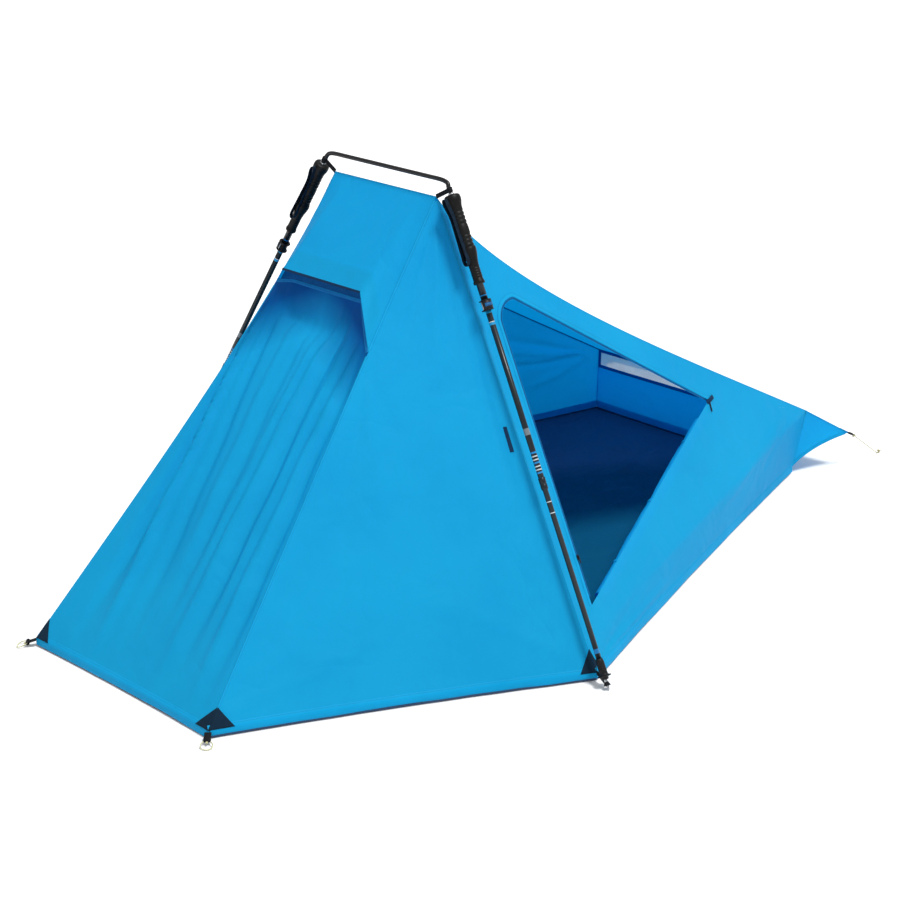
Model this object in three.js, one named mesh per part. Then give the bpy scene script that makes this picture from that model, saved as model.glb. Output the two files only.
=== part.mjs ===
// Two-person trekking-pole tent: a single-wall canopy on a bathtub floor, held up by two
// leaning trekking poles that a bar joins at their grips.
//
// Millimetres, +Z up. The origin is on the underside of the floor, midway between the pole
// tips. -X is the head end with the hooded vent, +X the foot end with the mesh window, and the
// door is in the right wall, on the -Y side.
import * as THREE from 'three';

// ---- Driving sizes -----------------------------------------------------------------------
const headReach = 873;          // pole line to head edge
const footReach = 1527;         // pole line to foot edge
const headWidth = 714;
const footWidth = 822;
const cornerSpan = 1706;        // between the canopy corners beside the pole feet
const cornerForward = 18;       // how far those corners sit footwards of the pole line
const poleSpan = 1820;          // between the pole tips
const peakHeight = 1153;
const peakWidth = 386;          // length of the peak seam
const peakForward = 104;
const hemHeight = 24;           // lower edge of the canopy, top of the tub wall
const footWallHeight = 215;
const footWallLean = 27;
const footWallFlare = 19;       // how much wider the foot wall is at its top, each side
const tailReach = 143;          // foot hood, from the foot wall's top to its two tails
const tailFlare = 73;
const tailDrop = 96;
const cloth = 2;                // thickness of every fabric panel, towards the tent's middle
const seamGap = 0.3;            // between neighbouring panels, and wherever pieces touch
const floorThickness = 1.6;

const hoodHeight = 937;         // free edge of the vent hood
const hoodProud = 54;           // how far that edge stands headwards of the head wall
const hoodHalfWidth = 150;
const hoodSideFraction = 0.305; // where the hood ends on the front seam, from the peak
const brimRadius = 3;
const ventSillHeight = 905;     // top of the head wall's cloth, under the hood
const ventSillHalfWidth = 135;

const windowSillHeight = 153;   // lower edge of the foot wall's mesh

// The door, measured in the right wall from the peak: down the pole seam, then across to the foot
const doorLowDown = 1145;
const doorLowAcross = 74;
const doorHighDown = 300;
const doorHighAcross = 118;
const doorRoundDown = 26;
const doorRoundAcross = 38;
const doorRearDown = 713;
const doorRearAcross = 980;
const zipWidth = 8;
const rollRadius = 17;          // the stowed door cloth

const shaftRadius = 7.9;
const lowShaftRadius = 7;
const shaftWall = 1.2;
const slideClearance = 0.35;    // radial, between the shaft and the tube it slides in
const gripLength = 243;
const gripRadius = 17.5;
const gripHeadRadius = 22;
const lockLength = 29;
const lockFromTop = 316;        // lower face of the clamp lock, from the top of the grip
const shaftOverlap = 85;        // shaft held inside the upper tube at the set length
const collarHeight = 575;       // where the two lower sections of the pole meet, from the tip
const basketHeight = 43;
const basketRadius = 19;
const tipRadius = 4.5;
const gripAbovePeak = 13;       // top of the grip against the peak corner
const gripOutsidePeak = 53;
const gripForwardOfPeak = 2;

const barRadius = 6;
const barRise = 27;             // bar's stretch in line with the pole, above the grip
const barHeightAbovePeak = 47;
const guyRadius = 1.25;

// ---- Materials ---------------------------------------------------------------------------
function finish(color, roughness, metalness = 0) {
  return new THREE.MeshStandardMaterial({ color, roughness, metalness });
}
const canopyBlue = () => finish(0x0a8fe0, 0.6);
const insideBlue = () => finish(0x0b5fb4, 0.7);
const floorNavy = () => finish(0x14263f, 0.7);
const netting = () => finish(0xaeb6ba, 0.9);
const blackWebbing = () => finish(0x17181a, 0.85);
const blackPlastic = () => finish(0x1b1c1e, 0.5);
const gripFoam = () => finish(0x151516, 0.9);
const blackAlloy = () => finish(0x1d1e20, 0.35, 0.9);
const steel = () => finish(0x8d9094, 0.35, 1);
const guyCord = () => finish(0xc9c39a, 0.8);

// ---- Points and lines --------------------------------------------------------------------
const RIGHT = -1;
const LEFT = 1;
const sides = [['right', RIGHT], ['left', LEFT]];
const vec = (x, y, z) => new THREE.Vector3(x, y, z);
const between = (a, b, t) => a.clone().lerp(b, t);

// Panels thicken towards a point inside the tent; the foot hood and its gussets towards their own
const heart = vec(300, 0, 300);
const footHeart = vec(footReach + 223, 0, -300);

const peak = (s) => vec(peakForward, s * peakWidth / 2, peakHeight);
const headCorner = (s) => vec(-headReach, s * headWidth / 2, hemHeight);
const poleCorner = (s) => vec(cornerForward, s * cornerSpan / 2, hemHeight);
const footCorner = (s) => vec(footReach, s * footWidth / 2, hemHeight);
const wallTop = (s) => vec(footReach + footWallLean, s * (footWidth / 2 + footWallFlare), footWallHeight);
const tail = (s) => wallTop(s).add(vec(tailReach, s * tailFlare, -tailDrop));
const poleTip = (s) => vec(0, s * poleSpan / 2, 0);
const gripTop = (s) => peak(s).add(vec(gripForwardOfPeak, s * gripOutsidePeak, gripAbovePeak));

function line(a, b, steps) {
  return Array.from({ length: steps + 1 }, (_, i) => between(a, b, i / steps));
}

// A line that bows by `bow` at its middle, as a tensioned fabric edge does
function bowed(a, b, bow, steps) {
  return line(a, b, steps).map((p, i) => {
    const t = i / steps;
    return p.addScaledVector(bow, 4 * t * (1 - t));
  });
}

// A run of straight stretches, each with its own number of steps
function broken(points, steps) {
  const run = [points[0].clone()];
  for (let k = 1; k < points.length; k += 1) {
    run.push(...line(points[k - 1], points[k], steps[k - 1]).slice(1));
  }
  return run;
}

// The right and left walls' own axes: down the pole seam, and across towards the foot
function wallAxes(s) {
  const down = poleCorner(s).sub(peak(s)).normalize();
  const chord = wallTop(s).sub(peak(s));
  const across = chord.addScaledVector(down, -chord.dot(down)).normalize();
  return { down, across };
}

function wallPoint(s, downBy, acrossBy) {
  const { down, across } = wallAxes(s);
  return peak(s).addScaledVector(down, downBy).addScaledVector(across, acrossBy);
}

// The roof seam hangs well below the straight line from the peak to the foot wall
const roofSteps = 10;
function roofSeam(s) {
  const chord = wallTop(s).sub(peak(s));
  const along = chord.clone().normalize();
  const sag = poleCorner(s).sub(peak(s));
  sag.addScaledVector(along, -sag.dot(along)).normalize();
  const length = chord.length();
  const nearPeak = peak(s).addScaledVector(along, 0.14 * length).addScaledVector(sag, 0.1 * length);
  const nearFoot = peak(s).addScaledVector(along, 0.58 * length).addScaledVector(sag, 0.04 * length);
  return new THREE.CubicBezierCurve3(peak(s), nearPeak, nearFoot, wallTop(s)).getPoints(roofSteps);
}

const hemSteps = 6;
const hemBow = { head: 6, front: 12, side: 10, foot: 6 };
const headHem = () => bowed(headCorner(LEFT), headCorner(RIGHT), vec(hemBow.head, 0, 0), hemSteps);
const frontHem = (s) => bowed(headCorner(s), poleCorner(s), vec(0, -s * hemBow.front, 0), hemSteps);
const sideHem = (s) => bowed(poleCorner(s), footCorner(s), vec(0, -s * hemBow.side, 0), roofSteps);
const footHem = () => bowed(footCorner(RIGHT), footCorner(LEFT), vec(-hemBow.foot, 0, 0), hemSteps);

// ---- Closed solids from grids of points ---------------------------------------------------
function closedGeometry(vertices, triangles) {
  const flat = new Float32Array(vertices.flatMap((p) => [p.x, p.y, p.z]));
  let volume = 0;
  for (const [a, b, c] of triangles) {
    const cross = vertices[b].clone().cross(vertices[c]);
    volume += vertices[a].dot(cross);
  }
  const facing = volume < 0 ? triangles.map(([a, b, c]) => [a, c, b]) : triangles;
  const geometry = new THREE.BufferGeometry();
  geometry.setAttribute('position', new THREE.BufferAttribute(flat, 3));
  geometry.setIndex(facing.flat());
  geometry.computeVertexNormals();
  return geometry;
}

// Two matching grids, joined round their edges, make one closed sheet
function sheetBetween(front, back) {
  const rows = front.length;
  const columns = front[0].length;
  const vertices = [...front.flat(), ...back.flat()];
  const at = (r, c, layer) => layer * rows * columns + r * columns + c;
  const triangles = [];
  const quad = (a, b, c, d) => triangles.push([a, b, c], [a, c, d]);
  for (let r = 0; r < rows - 1; r += 1) {
    for (let c = 0; c < columns - 1; c += 1) {
      quad(at(r, c, 0), at(r, c + 1, 0), at(r + 1, c + 1, 0), at(r + 1, c, 0));
      quad(at(r, c, 1), at(r + 1, c, 1), at(r + 1, c + 1, 1), at(r, c + 1, 1));
    }
  }
  for (let c = 0; c < columns - 1; c += 1) {
    quad(at(0, c, 0), at(0, c, 1), at(0, c + 1, 1), at(0, c + 1, 0));
    quad(at(rows - 1, c, 0), at(rows - 1, c + 1, 0), at(rows - 1, c + 1, 1), at(rows - 1, c, 1));
  }
  for (let r = 0; r < rows - 1; r += 1) {
    quad(at(r, 0, 0), at(r + 1, 0, 0), at(r + 1, 0, 1), at(r, 0, 1));
    quad(at(r, columns - 1, 0), at(r, columns - 1, 1), at(r + 1, columns - 1, 1), at(r + 1, columns - 1, 0));
  }
  return closedGeometry(vertices, triangles);
}

// Fills the space between four edges; top and bottom run the same way, as do left and right
function spanEdges({ top, bottom, left, right }) {
  const rows = left.length - 1;
  const columns = top.length - 1;
  return left.map((_, r) => top.map((_unused, c) => {
    const v = r / rows;
    const u = c / columns;
    const point = between(top[c], bottom[c], v).add(between(left[r], right[r], u));
    const upper = between(top[0], top[columns], u);
    const lower = between(bottom[0], bottom[columns], u);
    return point.sub(upper.lerp(lower, v));
  }));
}

// Draws a grid's rim in along its own surface, so that two panels keep a gap at their seam
function drawnIn(grid, amount) {
  const rows = grid.length - 1;
  const columns = grid[0].length - 1;
  return grid.map((row, r) => row.map((p, c) => {
    const ends = { r: r === 0 ? 1 : rows - 1, c: c === 0 ? 1 : columns - 1 };
    const onRow = r === 0 || r === rows;
    const onColumn = c === 0 || c === columns;
    const moved = p.clone();
    if (onRow && onColumn) {
      const a = grid[ends.r][c].clone().sub(p).normalize();
      const b = grid[r][ends.c].clone().sub(p).normalize();
      const sine = a.clone().cross(b).length();
      return moved.addScaledVector(a.add(b), amount / sine);
    }
    if (!onRow && !onColumn) {
      return moved;
    }
    const inward = (onRow ? grid[ends.r][c] : grid[r][ends.c]).clone().sub(p);
    const before = onRow ? grid[r][c - 1] : grid[r - 1][c];
    const after = onRow ? grid[r][c + 1] : grid[r + 1][c];
    const tangent = after.clone().sub(before).normalize();
    inward.addScaledVector(tangent, -inward.dot(tangent)).normalize();
    return moved.addScaledVector(inward, amount);
  }));
}

const towards = (aim, p, by) => p.clone().addScaledVector(aim.clone().sub(p).normalize(), by);
const innerSkin = (grid, aim = heart) => grid.map((row) => row.map((p) => towards(aim, p, cloth)));
const panelSkin = (edges) => drawnIn(spanEdges(edges), seamGap / 2);

function panelSolid(edges, aim = heart) {
  const skin = panelSkin(edges);
  return sheetBetween(skin, innerSkin(skin, aim));
}

// ---- The assembly ------------------------------------------------------------------------
const tent = new THREE.Group();

function add(name, geometry, material, parent = tent) {
  const mesh = new THREE.Mesh(geometry, material);
  mesh.name = name;
  parent.add(mesh);
  return mesh;
}

// ---- Head wall, vent and hood ------------------------------------------------------------
const seamSteps = 6;
const onFrontSeam = (s, t) => between(peak(s), headCorner(s), t);

// A point of the head wall's plane at a height, `y` across
function headWallPoint(y, z) {
  const t = (peakHeight - z) / (peakHeight - hemHeight);
  const x = peakForward - t * (peakForward + headReach);
  return vec(x, y, z);
}

const hoodCorner = (s) => headWallPoint(s * hoodHalfWidth, hoodHeight).add(vec(-hoodProud, 0, 0));
const hoodRows = 4;
const hoodFlank = 1;
const hoodSpan = 6;

const hoodFlankShare = 0.12;    // of the peak seam, above each flank of the hood
function hoodSkin() {
  const flankLeft = between(peak(LEFT), peak(RIGHT), hoodFlankShare);
  const flankRight = between(peak(RIGHT), peak(LEFT), hoodFlankShare);
  const top = broken([peak(LEFT), flankLeft, flankRight, peak(RIGHT)], [hoodFlank, hoodSpan, hoodFlank]);
  const bottom = broken([onFrontSeam(LEFT, hoodSideFraction), hoodCorner(LEFT), hoodCorner(RIGHT),
    onFrontSeam(RIGHT, hoodSideFraction)], [hoodFlank, hoodSpan, hoodFlank]);
  return panelSkin({
    top,
    bottom,
    left: line(peak(LEFT), onFrontSeam(LEFT, hoodSideFraction), hoodRows),
    right: line(peak(RIGHT), onFrontSeam(RIGHT, hoodSideFraction), hoodRows),
  });
}

function headPanel() {
  const sillSide = (s) => headWallPoint(s * ventSillHalfWidth, ventSillHeight);
  const top = broken([onFrontSeam(LEFT, hoodSideFraction), sillSide(LEFT), sillSide(RIGHT),
    onFrontSeam(RIGHT, hoodSideFraction)], [1, hemSteps - 2, 1]);
  return panelSolid({
    top,
    bottom: headHem(),
    left: line(onFrontSeam(LEFT, hoodSideFraction), headCorner(LEFT), seamSteps),
    right: line(onFrontSeam(RIGHT, hoodSideFraction), headCorner(RIGHT), seamSteps),
  });
}

// The vent's netting runs from the head wall's sill up to the underside of the hood
const ventMeshInset = 20;       // the netting's lower edge stops this far inside the vent's sill
function ventMesh(hood) {
  const lining = innerSkin(hood)[2];
  const inner = lining.slice(hoodFlank + 1, hoodFlank + hoodSpan);
  const top = [inner[0], inner[inner.length - 1]].map((p) => towards(heart, p, seamGap));
  const halfWidth = ventSillHalfWidth - ventMeshInset;
  const low = [LEFT, RIGHT].map((s) => headWallPoint(s * halfWidth, ventSillHeight + seamGap));
  return panelSolid({
    top: line(top[0], top[1], 4),
    bottom: line(low[0], low[1], 4),
    left: line(top[0], low[0], 2),
    right: line(top[1], low[1], 2),
  });
}

function tubeAlong(points, radius, sections, steps) {
  const outline = new THREE.Shape();
  for (let k = 0; k < sections; k += 1) {
    const angle = (2 * Math.PI * k) / sections;
    const place = [radius * Math.cos(angle), radius * Math.sin(angle)];
    if (k === 0) {
      outline.moveTo(...place);
    } else {
      outline.lineTo(...place);
    }
  }
  const path = new THREE.CatmullRomCurve3(points, false, 'centripetal');
  return new THREE.ExtrudeGeometry(outline, { steps, extrudePath: path, bevelEnabled: false });
}

function hoodBrim(hood) {
  const ends = [hoodFlank, hoodFlank + hoodSpan].map((c) => {
    const edge = towards(heart, hood[hoodRows][c], cloth / 2);
    const outward = hood[hoodRows][c].clone().sub(hood[hoodRows - 1][c]).normalize();
    return edge.addScaledVector(outward, brimRadius + 2 * seamGap);
  });
  return tubeAlong([ends[0], between(ends[0], ends[1], 0.5), ends[1]], brimRadius, 8, 6);
}

function buildHead() {
  const hood = hoodSkin();
  add('vent_hood', sheetBetween(hood, innerSkin(hood)), canopyBlue());
  add('head_panel', headPanel(), canopyBlue());
  add('vent_mesh', ventMesh(hood), netting());
  add('hood_brim', hoodBrim(hood), blackPlastic());
}

// ---- Front walls, side walls, roof and foot ----------------------------------------------
const peakTrim = 12;            // the front walls stop this far down their two seams

function frontPanel(s) {
  const seamLength = peak(s).distanceTo(headCorner(s));
  const poleSeamLength = peak(s).distanceTo(poleCorner(s));
  const atSeam = onFrontSeam(s, peakTrim / seamLength);
  const atPole = between(peak(s), poleCorner(s), peakTrim / poleSeamLength);
  return panelSolid({
    top: line(atSeam, atPole, hemSteps),
    bottom: frontHem(s),
    left: line(atSeam, headCorner(s), seamSteps),
    right: line(atPole, poleCorner(s), seamSteps),
  });
}

function leftWall() {
  return panelSolid({
    top: roofSeam(LEFT),
    bottom: sideHem(LEFT),
    left: line(peak(LEFT), poleCorner(LEFT), seamSteps),
    right: line(wallTop(LEFT), footCorner(LEFT), seamSteps),
  });
}

// The door's outline: low point beside the pole foot, rounded high corner, rear point
const doorLow = wallPoint(RIGHT, doorLowDown, doorLowAcross);
const doorHigh = wallPoint(RIGHT, doorHighDown, doorHighAcross);
const doorRear = wallPoint(RIGHT, doorRearDown, doorRearAcross);
const doorFrontShoulder = wallPoint(RIGHT, doorHighDown + doorRoundDown, doorHighAcross - 22);
const doorTopShoulder = wallPoint(RIGHT, doorHighDown - 18, doorHighAcross + doorRoundAcross);

function doorFrontStrip() {
  return panelSolid({
    top: line(peak(RIGHT), doorHigh, 2),
    bottom: line(poleCorner(RIGHT), doorLow, 2),
    left: line(peak(RIGHT), poleCorner(RIGHT), seamSteps),
    right: broken([doorHigh, doorFrontShoulder, doorLow], [1, seamSteps - 1]),
  });
}

function doorTopStrip() {
  return panelSolid({
    top: roofSeam(RIGHT),
    bottom: broken([doorHigh, doorTopShoulder, doorRear], [1, roofSteps - 1]),
    left: line(peak(RIGHT), doorHigh, 3),
    right: line(wallTop(RIGHT), doorRear, 3),
  });
}

function rightRearSkin() {
  return panelSkin({
    top: line(doorLow, doorRear, roofSteps),
    bottom: sideHem(RIGHT),
    left: line(doorLow, poleCorner(RIGHT), 4),
    right: broken([doorRear, wallTop(RIGHT), footCorner(RIGHT)], [2, 2]),
  });
}

function roofPanel() {
  return panelSolid({
    top: line(peak(LEFT), peak(RIGHT), 4),
    bottom: line(wallTop(LEFT), wallTop(RIGHT), 4),
    left: roofSeam(LEFT),
    right: roofSeam(RIGHT),
  });
}

function onFootSeam(s, height) {
  const t = (height - hemHeight) / (footWallHeight - hemHeight);
  return between(footCorner(s), wallTop(s), t);
}

function footBand(low, high, bottom) {
  return panelSolid({
    top: line(onFootSeam(RIGHT, high), onFootSeam(LEFT, high), hemSteps),
    bottom,
    left: line(onFootSeam(RIGHT, high), onFootSeam(RIGHT, low), 2),
    right: line(onFootSeam(LEFT, high), onFootSeam(LEFT, low), 2),
  });
}

const hoodHemBow = 38;
function footHood() {
  const bow = vec(-hoodHemBow, 0, hoodHemBow * tailDrop / tailReach);
  return panelSolid({
    top: line(wallTop(LEFT), wallTop(RIGHT), hemSteps),
    bottom: bowed(tail(LEFT), tail(RIGHT), bow, hemSteps),
    left: line(wallTop(LEFT), tail(LEFT), 3),
    right: line(wallTop(RIGHT), tail(RIGHT), 3),
  }, footHeart);
}

function footGusset(s) {
  const tailEnd = between(tail(s), footCorner(s), 0.05);
  const lift = between(wallTop(s), footCorner(s), 0.5).sub(between(tail(s), footCorner(s), 0.5));
  return panelSolid({
    top: line(wallTop(s), tail(s), 4),
    bottom: bowed(footCorner(s), tailEnd, lift.multiplyScalar(0.18), 4),
    left: line(wallTop(s), footCorner(s), 2),
    right: line(tail(s), tailEnd, 2),
  }, footHeart);
}

function buildWalls() {
  for (const [name, s] of sides) {
    add(`front_panel_${name}`, frontPanel(s), canopyBlue());
    add(`foot_gusset_${name}`, footGusset(s), canopyBlue());
  }
  add('side_panel_left', leftWall(), canopyBlue());
  add('door_front_strip', doorFrontStrip(), canopyBlue());
  add('door_top_strip', doorTopStrip(), canopyBlue());
  add('roof_panel', roofPanel(), canopyBlue());
  add('foot_wall', footBand(hemHeight, windowSillHeight, footHem()), insideBlue());
  const sill = line(onFootSeam(RIGHT, windowSillHeight), onFootSeam(LEFT, windowSillHeight), hemSteps);
  add('foot_mesh', footBand(windowSillHeight, footWallHeight, sill), netting());
  add('foot_hood', footHood(), canopyBlue());
}

// ---- Door: zip, slider and the rolled cloth ----------------------------------------------
const wallOut = () => {
  const { down, across } = wallAxes(RIGHT);
  return down.clone().cross(across).normalize();
};

const zipInset = 0.42;          // between the door's edge and the zip tape
const zipTrim = 0.12;           // share of its first and last step that the tape stops short by
function zipTrack() {
  const { down, across } = wallAxes(RIGHT);
  const edge = broken([doorLow, doorFrontShoulder, doorHigh, doorTopShoulder, doorRear], [6, 1, 1, 8]);
  const middle = between(doorFrontShoulder, doorRear, 0.5);
  const intoDoor = edge.map((p, i) => {
    const before = edge[Math.max(i - 1, 0)];
    const after = edge[Math.min(i + 1, edge.length - 1)];
    const tangent = after.clone().sub(before).normalize();
    const reach = middle.clone().sub(p);
    const side = down.clone().multiplyScalar(reach.dot(down)).addScaledVector(across, reach.dot(across));
    side.normalize();
    return side.addScaledVector(tangent, -side.dot(tangent)).normalize();
  });
  const tape = [zipInset, zipWidth].map((by) => {
    const run = edge.map((p, i) => p.clone().addScaledVector(intoDoor[i], by));
    const last = run.length - 1;
    run[0] = between(run[0], run[1], zipTrim);
    run[last] = between(run[last], run[last - 1], zipTrim);
    return run;
  });
  return sheetBetween(tape, innerSkin(tape));
}

const sliderSize = { length: 14, width: 9, height: 5 };
const sliderPlace = 0.16;       // share of the door's front edge, from its low point
const sliderNose = 3;           // how much of its length the slider tapers over
function zipSlider() {
  const run = doorFrontShoulder.clone().sub(doorLow);
  const along = run.clone().normalize();
  const out = wallOut();
  const inward = along.clone().cross(out).normalize();
  const centre = doorLow.clone().addScaledVector(run, sliderPlace)
    .addScaledVector(inward, zipWidth / 2)
    .addScaledVector(out, sliderSize.height / 2 + seamGap);
  const { length, width, height } = sliderSize;
  const body = new THREE.Shape([
    [-length / 2, -width / 2], [length / 2 - sliderNose, -width / 2], [length / 2, -width / 4],
    [length / 2, width / 4], [length / 2 - sliderNose, width / 2], [-length / 2, width / 2],
  ].map(([x, y]) => new THREE.Vector2(x, y)));
  const geometry = new THREE.ExtrudeGeometry(body, { depth: height, bevelEnabled: false });
  geometry.translate(0, 0, -height / 2);
  const turn = new THREE.Matrix4().makeBasis(along, out.clone().cross(along), out);
  geometry.applyMatrix4(turn.setPosition(centre));
  return geometry;
}

// The door's cloth is rolled and tied along its rear edge, against the inside of the right wall
const rollInset = 4;            // between the door's edge and the roll
function doorRoll(skin) {
  const rows = innerSkin(skin);
  const edge = rows[0];
  const downColumn = (c, distance) => {
    let left = distance;
    let r = 0;
    while (left > rows[r][c].distanceTo(rows[r + 1][c])) {
      left -= rows[r][c].distanceTo(rows[r + 1][c]);
      r += 1;
    }
    return between(rows[r][c], rows[r + 1][c], left / rows[r][c].distanceTo(rows[r + 1][c]));
  };
  const middleDepth = rollRadius + rollInset;
  const centres = [];
  for (let c = 1; c < roofSteps; c += 1) {
    const inward = rows[1][c].clone().sub(edge[c]).normalize();
    const along = edge[c + 1].clone().sub(edge[c - 1]).normalize();
    const normal = along.clone().cross(inward).normalize();
    if (normal.dot(heart.clone().sub(edge[c])) < 0) {
      normal.negate();
    }
    const behind = [c - 1, c, c + 1].flatMap((k) => [0, 1, 2].map((by) => downColumn(k, by * middleDepth)));
    const bulge = Math.max(...behind.map((p) => p.clone().sub(edge[c]).dot(normal)));
    centres.push(edge[c].clone().addScaledVector(inward, middleDepth)
      .addScaledVector(normal, rollRadius + 2 * seamGap + bulge));
  }
  return tubeAlong(centres, rollRadius, 10, 16);
}

function buildDoor() {
  const skin = rightRearSkin();
  add('side_panel_right', sheetBetween(skin, innerSkin(skin)), canopyBlue());
  add('zip_track', zipTrack(), blackWebbing());
  add('zip_slider', zipSlider(), blackPlastic());
  add('door_roll', doorRoll(skin), insideBlue());
}

// ---- Floor and tub walls -----------------------------------------------------------------
function floorPlate() {
  const run = [...headHem().slice(0, -1), ...frontHem(RIGHT).slice(0, -1), ...sideHem(RIGHT).slice(0, -1),
    ...footHem().slice(0, -1), ...sideHem(LEFT).reverse().slice(0, -1),
    ...frontHem(LEFT).reverse().slice(0, -1)];
  const outline = new THREE.Shape(run.map((p) => new THREE.Vector2(p.x, p.y)));
  return new THREE.ExtrudeGeometry(outline, { depth: floorThickness, bevelEnabled: false });
}

function tubWall(hem) {
  const atHeight = (z) => hem.map((p) => vec(p.x, p.y, z));
  const top = atHeight(hemHeight - seamGap / 2);
  const bottom = atHeight(floorThickness + seamGap);
  const last = hem.length - 1;
  return panelSolid({
    top,
    bottom,
    left: line(top[0], bottom[0], 1),
    right: line(top[last], bottom[last], 1),
  });
}

function buildFloor() {
  add('groundsheet', floorPlate(), floorNavy());
  add('tub_wall_head', tubWall(headHem()), floorNavy());
  add('tub_wall_foot', tubWall(footHem()), floorNavy());
  for (const [name, s] of sides) {
    add(`tub_wall_front_${name}`, tubWall(frontHem(s)), floorNavy());
    add(`tub_wall_side_${name}`, tubWall(sideHem(s)), floorNavy());
  }
}

// ---- Poles -------------------------------------------------------------------------------
const roundSides = 14;
const poleLength = gripTop(RIGHT).distanceTo(poleTip(RIGHT));
const lockLow = poleLength - lockFromTop;
const lockHigh = lockLow + lockLength;
const gripLow = poleLength - gripLength;
const upperTubeBore = shaftRadius + slideClearance;
const upperTubeRadius = upperTubeBore + shaftWall;
const ferruleTop = 86;

function turned(profile, segments = roundSides) {
  const points = profile.map(([r, z]) => new THREE.Vector2(r, z));
  const geometry = new THREE.LatheGeometry(points, segments);
  geometry.rotateX(Math.PI / 2);
  return geometry;
}

// A solid turned about the pole's axis, from (radius, height) pairs that run upwards
function rod(profile) {
  const low = profile[0][1];
  const high = profile[profile.length - 1][1];
  return turned([[0, low], ...profile, [0, high]]);
}

// A sleeve: the outer profile runs upwards and the bore closes it
function sleeve(profile, bore) {
  const low = profile[0][1];
  const high = profile[profile.length - 1][1];
  return turned([[bore, low], ...profile, [bore, high], [bore, low]]);
}

// The grip from below: a slim sleeve, the swell under the hand, two ribbed bands and the head
const sleeveRadius = 13.5;
const swellRadius = 20;
const swellFromTop = 152;
const ribDepth = 2;
const ribPitch = 11;
const ribBands = [112, 48];      // top of each ribbed band, from the top of the grip
const ribsInBand = 3;
const cuffProud = 1.2;
const cuffHeight = 7;
const cuffTaper = 2;
const sleeveFromTop = 192;
const swellShoulder = { drawnIn: 1.5, below: 12 };
const neckFromTop = 34;
const headProfile = [[-1, 22], [0, 14], [-1, 4], [-5, 0]]; // radius against the head's, depth from the top
const gripBoreStop = 14;        // solid length above the tube's socket
function gripGeometry() {
  const bore = upperTubeRadius + seamGap;
  const top = poleLength;
  const ribs = (from) => {
    const run = [];
    for (let k = ribsInBand - 1; k >= 0; k -= 1) {
      const z = top - from - k * ribPitch;
      run.push([gripRadius, z - ribPitch * 0.9]);
      run.push([gripRadius - ribDepth, z - ribPitch * 0.5]);
      run.push([gripRadius, z]);
    }
    return run;
  };
  const cuff = sleeveRadius + cuffProud;
  const outer = [
    [cuff, gripLow], [cuff, gripLow + cuffHeight],
    [sleeveRadius, gripLow + cuffHeight + cuffTaper], [sleeveRadius, top - sleeveFromTop],
    [swellRadius - swellShoulder.drawnIn, top - swellFromTop - swellShoulder.below],
    [swellRadius, top - swellFromTop],
    ...ribs(ribBands[0]), ...ribs(ribBands[1]),
    [gripRadius, top - neckFromTop],
    ...headProfile.map(([out, depth]) => [gripHeadRadius + out, top - depth]),
  ];
  const stop = top - gripBoreStop;
  return turned([[bore, gripLow], ...outer, [0, top], [0, stop], [bore, stop], [bore, gripLow]]);
}

function upperTube() {
  const top = poleLength - gripBoreStop - 2;
  return sleeve([[upperTubeRadius, lockHigh + seamGap], [upperTubeRadius, top]], upperTubeBore);
}

const lockCoreRadius = 12;
const lockFlangeRadius = 16.5;
const lockFlange = 3;
const lockChamfer = { across: 2, high: 1 };
function lockBody() {
  const rim = lockFlangeRadius - lockChamfer.across;
  return sleeve([
    [rim, lockLow], [lockFlangeRadius, lockLow + lockChamfer.high],
    [lockFlangeRadius, lockLow + lockFlange], [lockCoreRadius, lockLow + lockFlange],
    [lockCoreRadius, lockHigh - lockFlange], [lockFlangeRadius, lockHigh - lockFlange],
    [lockFlangeRadius, lockHigh - lockChamfer.high], [rim, lockHigh],
  ], upperTubeBore);
}

const leverPivotRadius = 14.2;  // the lever's pivot, from the pole's axis
const leverBossRadius = 1.8;
const leverThickness = 3.4;
const leverFrom = 0.2;          // radians round the pole, from the pivot
const leverTo = 2.9;
function lockLever(s) {
  const turn = -s; // the lever wraps the outer side of its pole, so the two are mirrored
  const inner = lockCoreRadius + seamGap * 2;
  const outer = inner + leverThickness;
  const from = turn * leverFrom;
  const to = turn * leverTo;
  const shape = new THREE.Shape();
  shape.absarc(0, 0, outer, from, to, turn < 0);
  shape.absarc(0, 0, inner, to, from, turn > 0);
  shape.absarc(leverPivotRadius, 0, leverBossRadius, Math.PI, turn > 0 ? 2 * Math.PI : 0, turn < 0);
  const depth = lockLength - 2 * lockFlange - 2 * seamGap;
  const geometry = new THREE.ExtrudeGeometry(shape, { depth, bevelEnabled: false, curveSegments: 10 });
  geometry.translate(0, 0, lockLow + lockFlange + seamGap);
  geometry.rotateZ(Math.PI);
  return geometry;
}

function upperShaft() {
  const top = lockHigh + shaftOverlap;
  return sleeve([[shaftRadius, collarHeight + seamGap], [shaftRadius, top]], shaftRadius - shaftWall);
}

const collarProud = 1.5;        // the joint collar over the upper shaft's radius
const collarLength = 30;
const collarTaper = 4;
function lowerShaft() {
  const collar = shaftRadius + collarProud;
  const collarLow = collarHeight - collarLength;
  return sleeve([
    [lowShaftRadius, ferruleTop + seamGap], [lowShaftRadius, collarLow - collarTaper], [collar, collarLow],
    [collar, collarHeight],
  ], lowShaftRadius - shaftWall);
}

const basketThickness = 3;
const basketLow = basketHeight - 5;
function basketAndFerrule() {
  const low = basketLow;
  const bore = tipRadius + seamGap;
  return sleeve([
    [9, low - 8], [10, low - 2], [basketRadius, low], [basketRadius, low + basketThickness],
    [11, low + 8], [10.5, ferruleTop - 8], [8.5, ferruleTop],
  ], bore);
}

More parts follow.
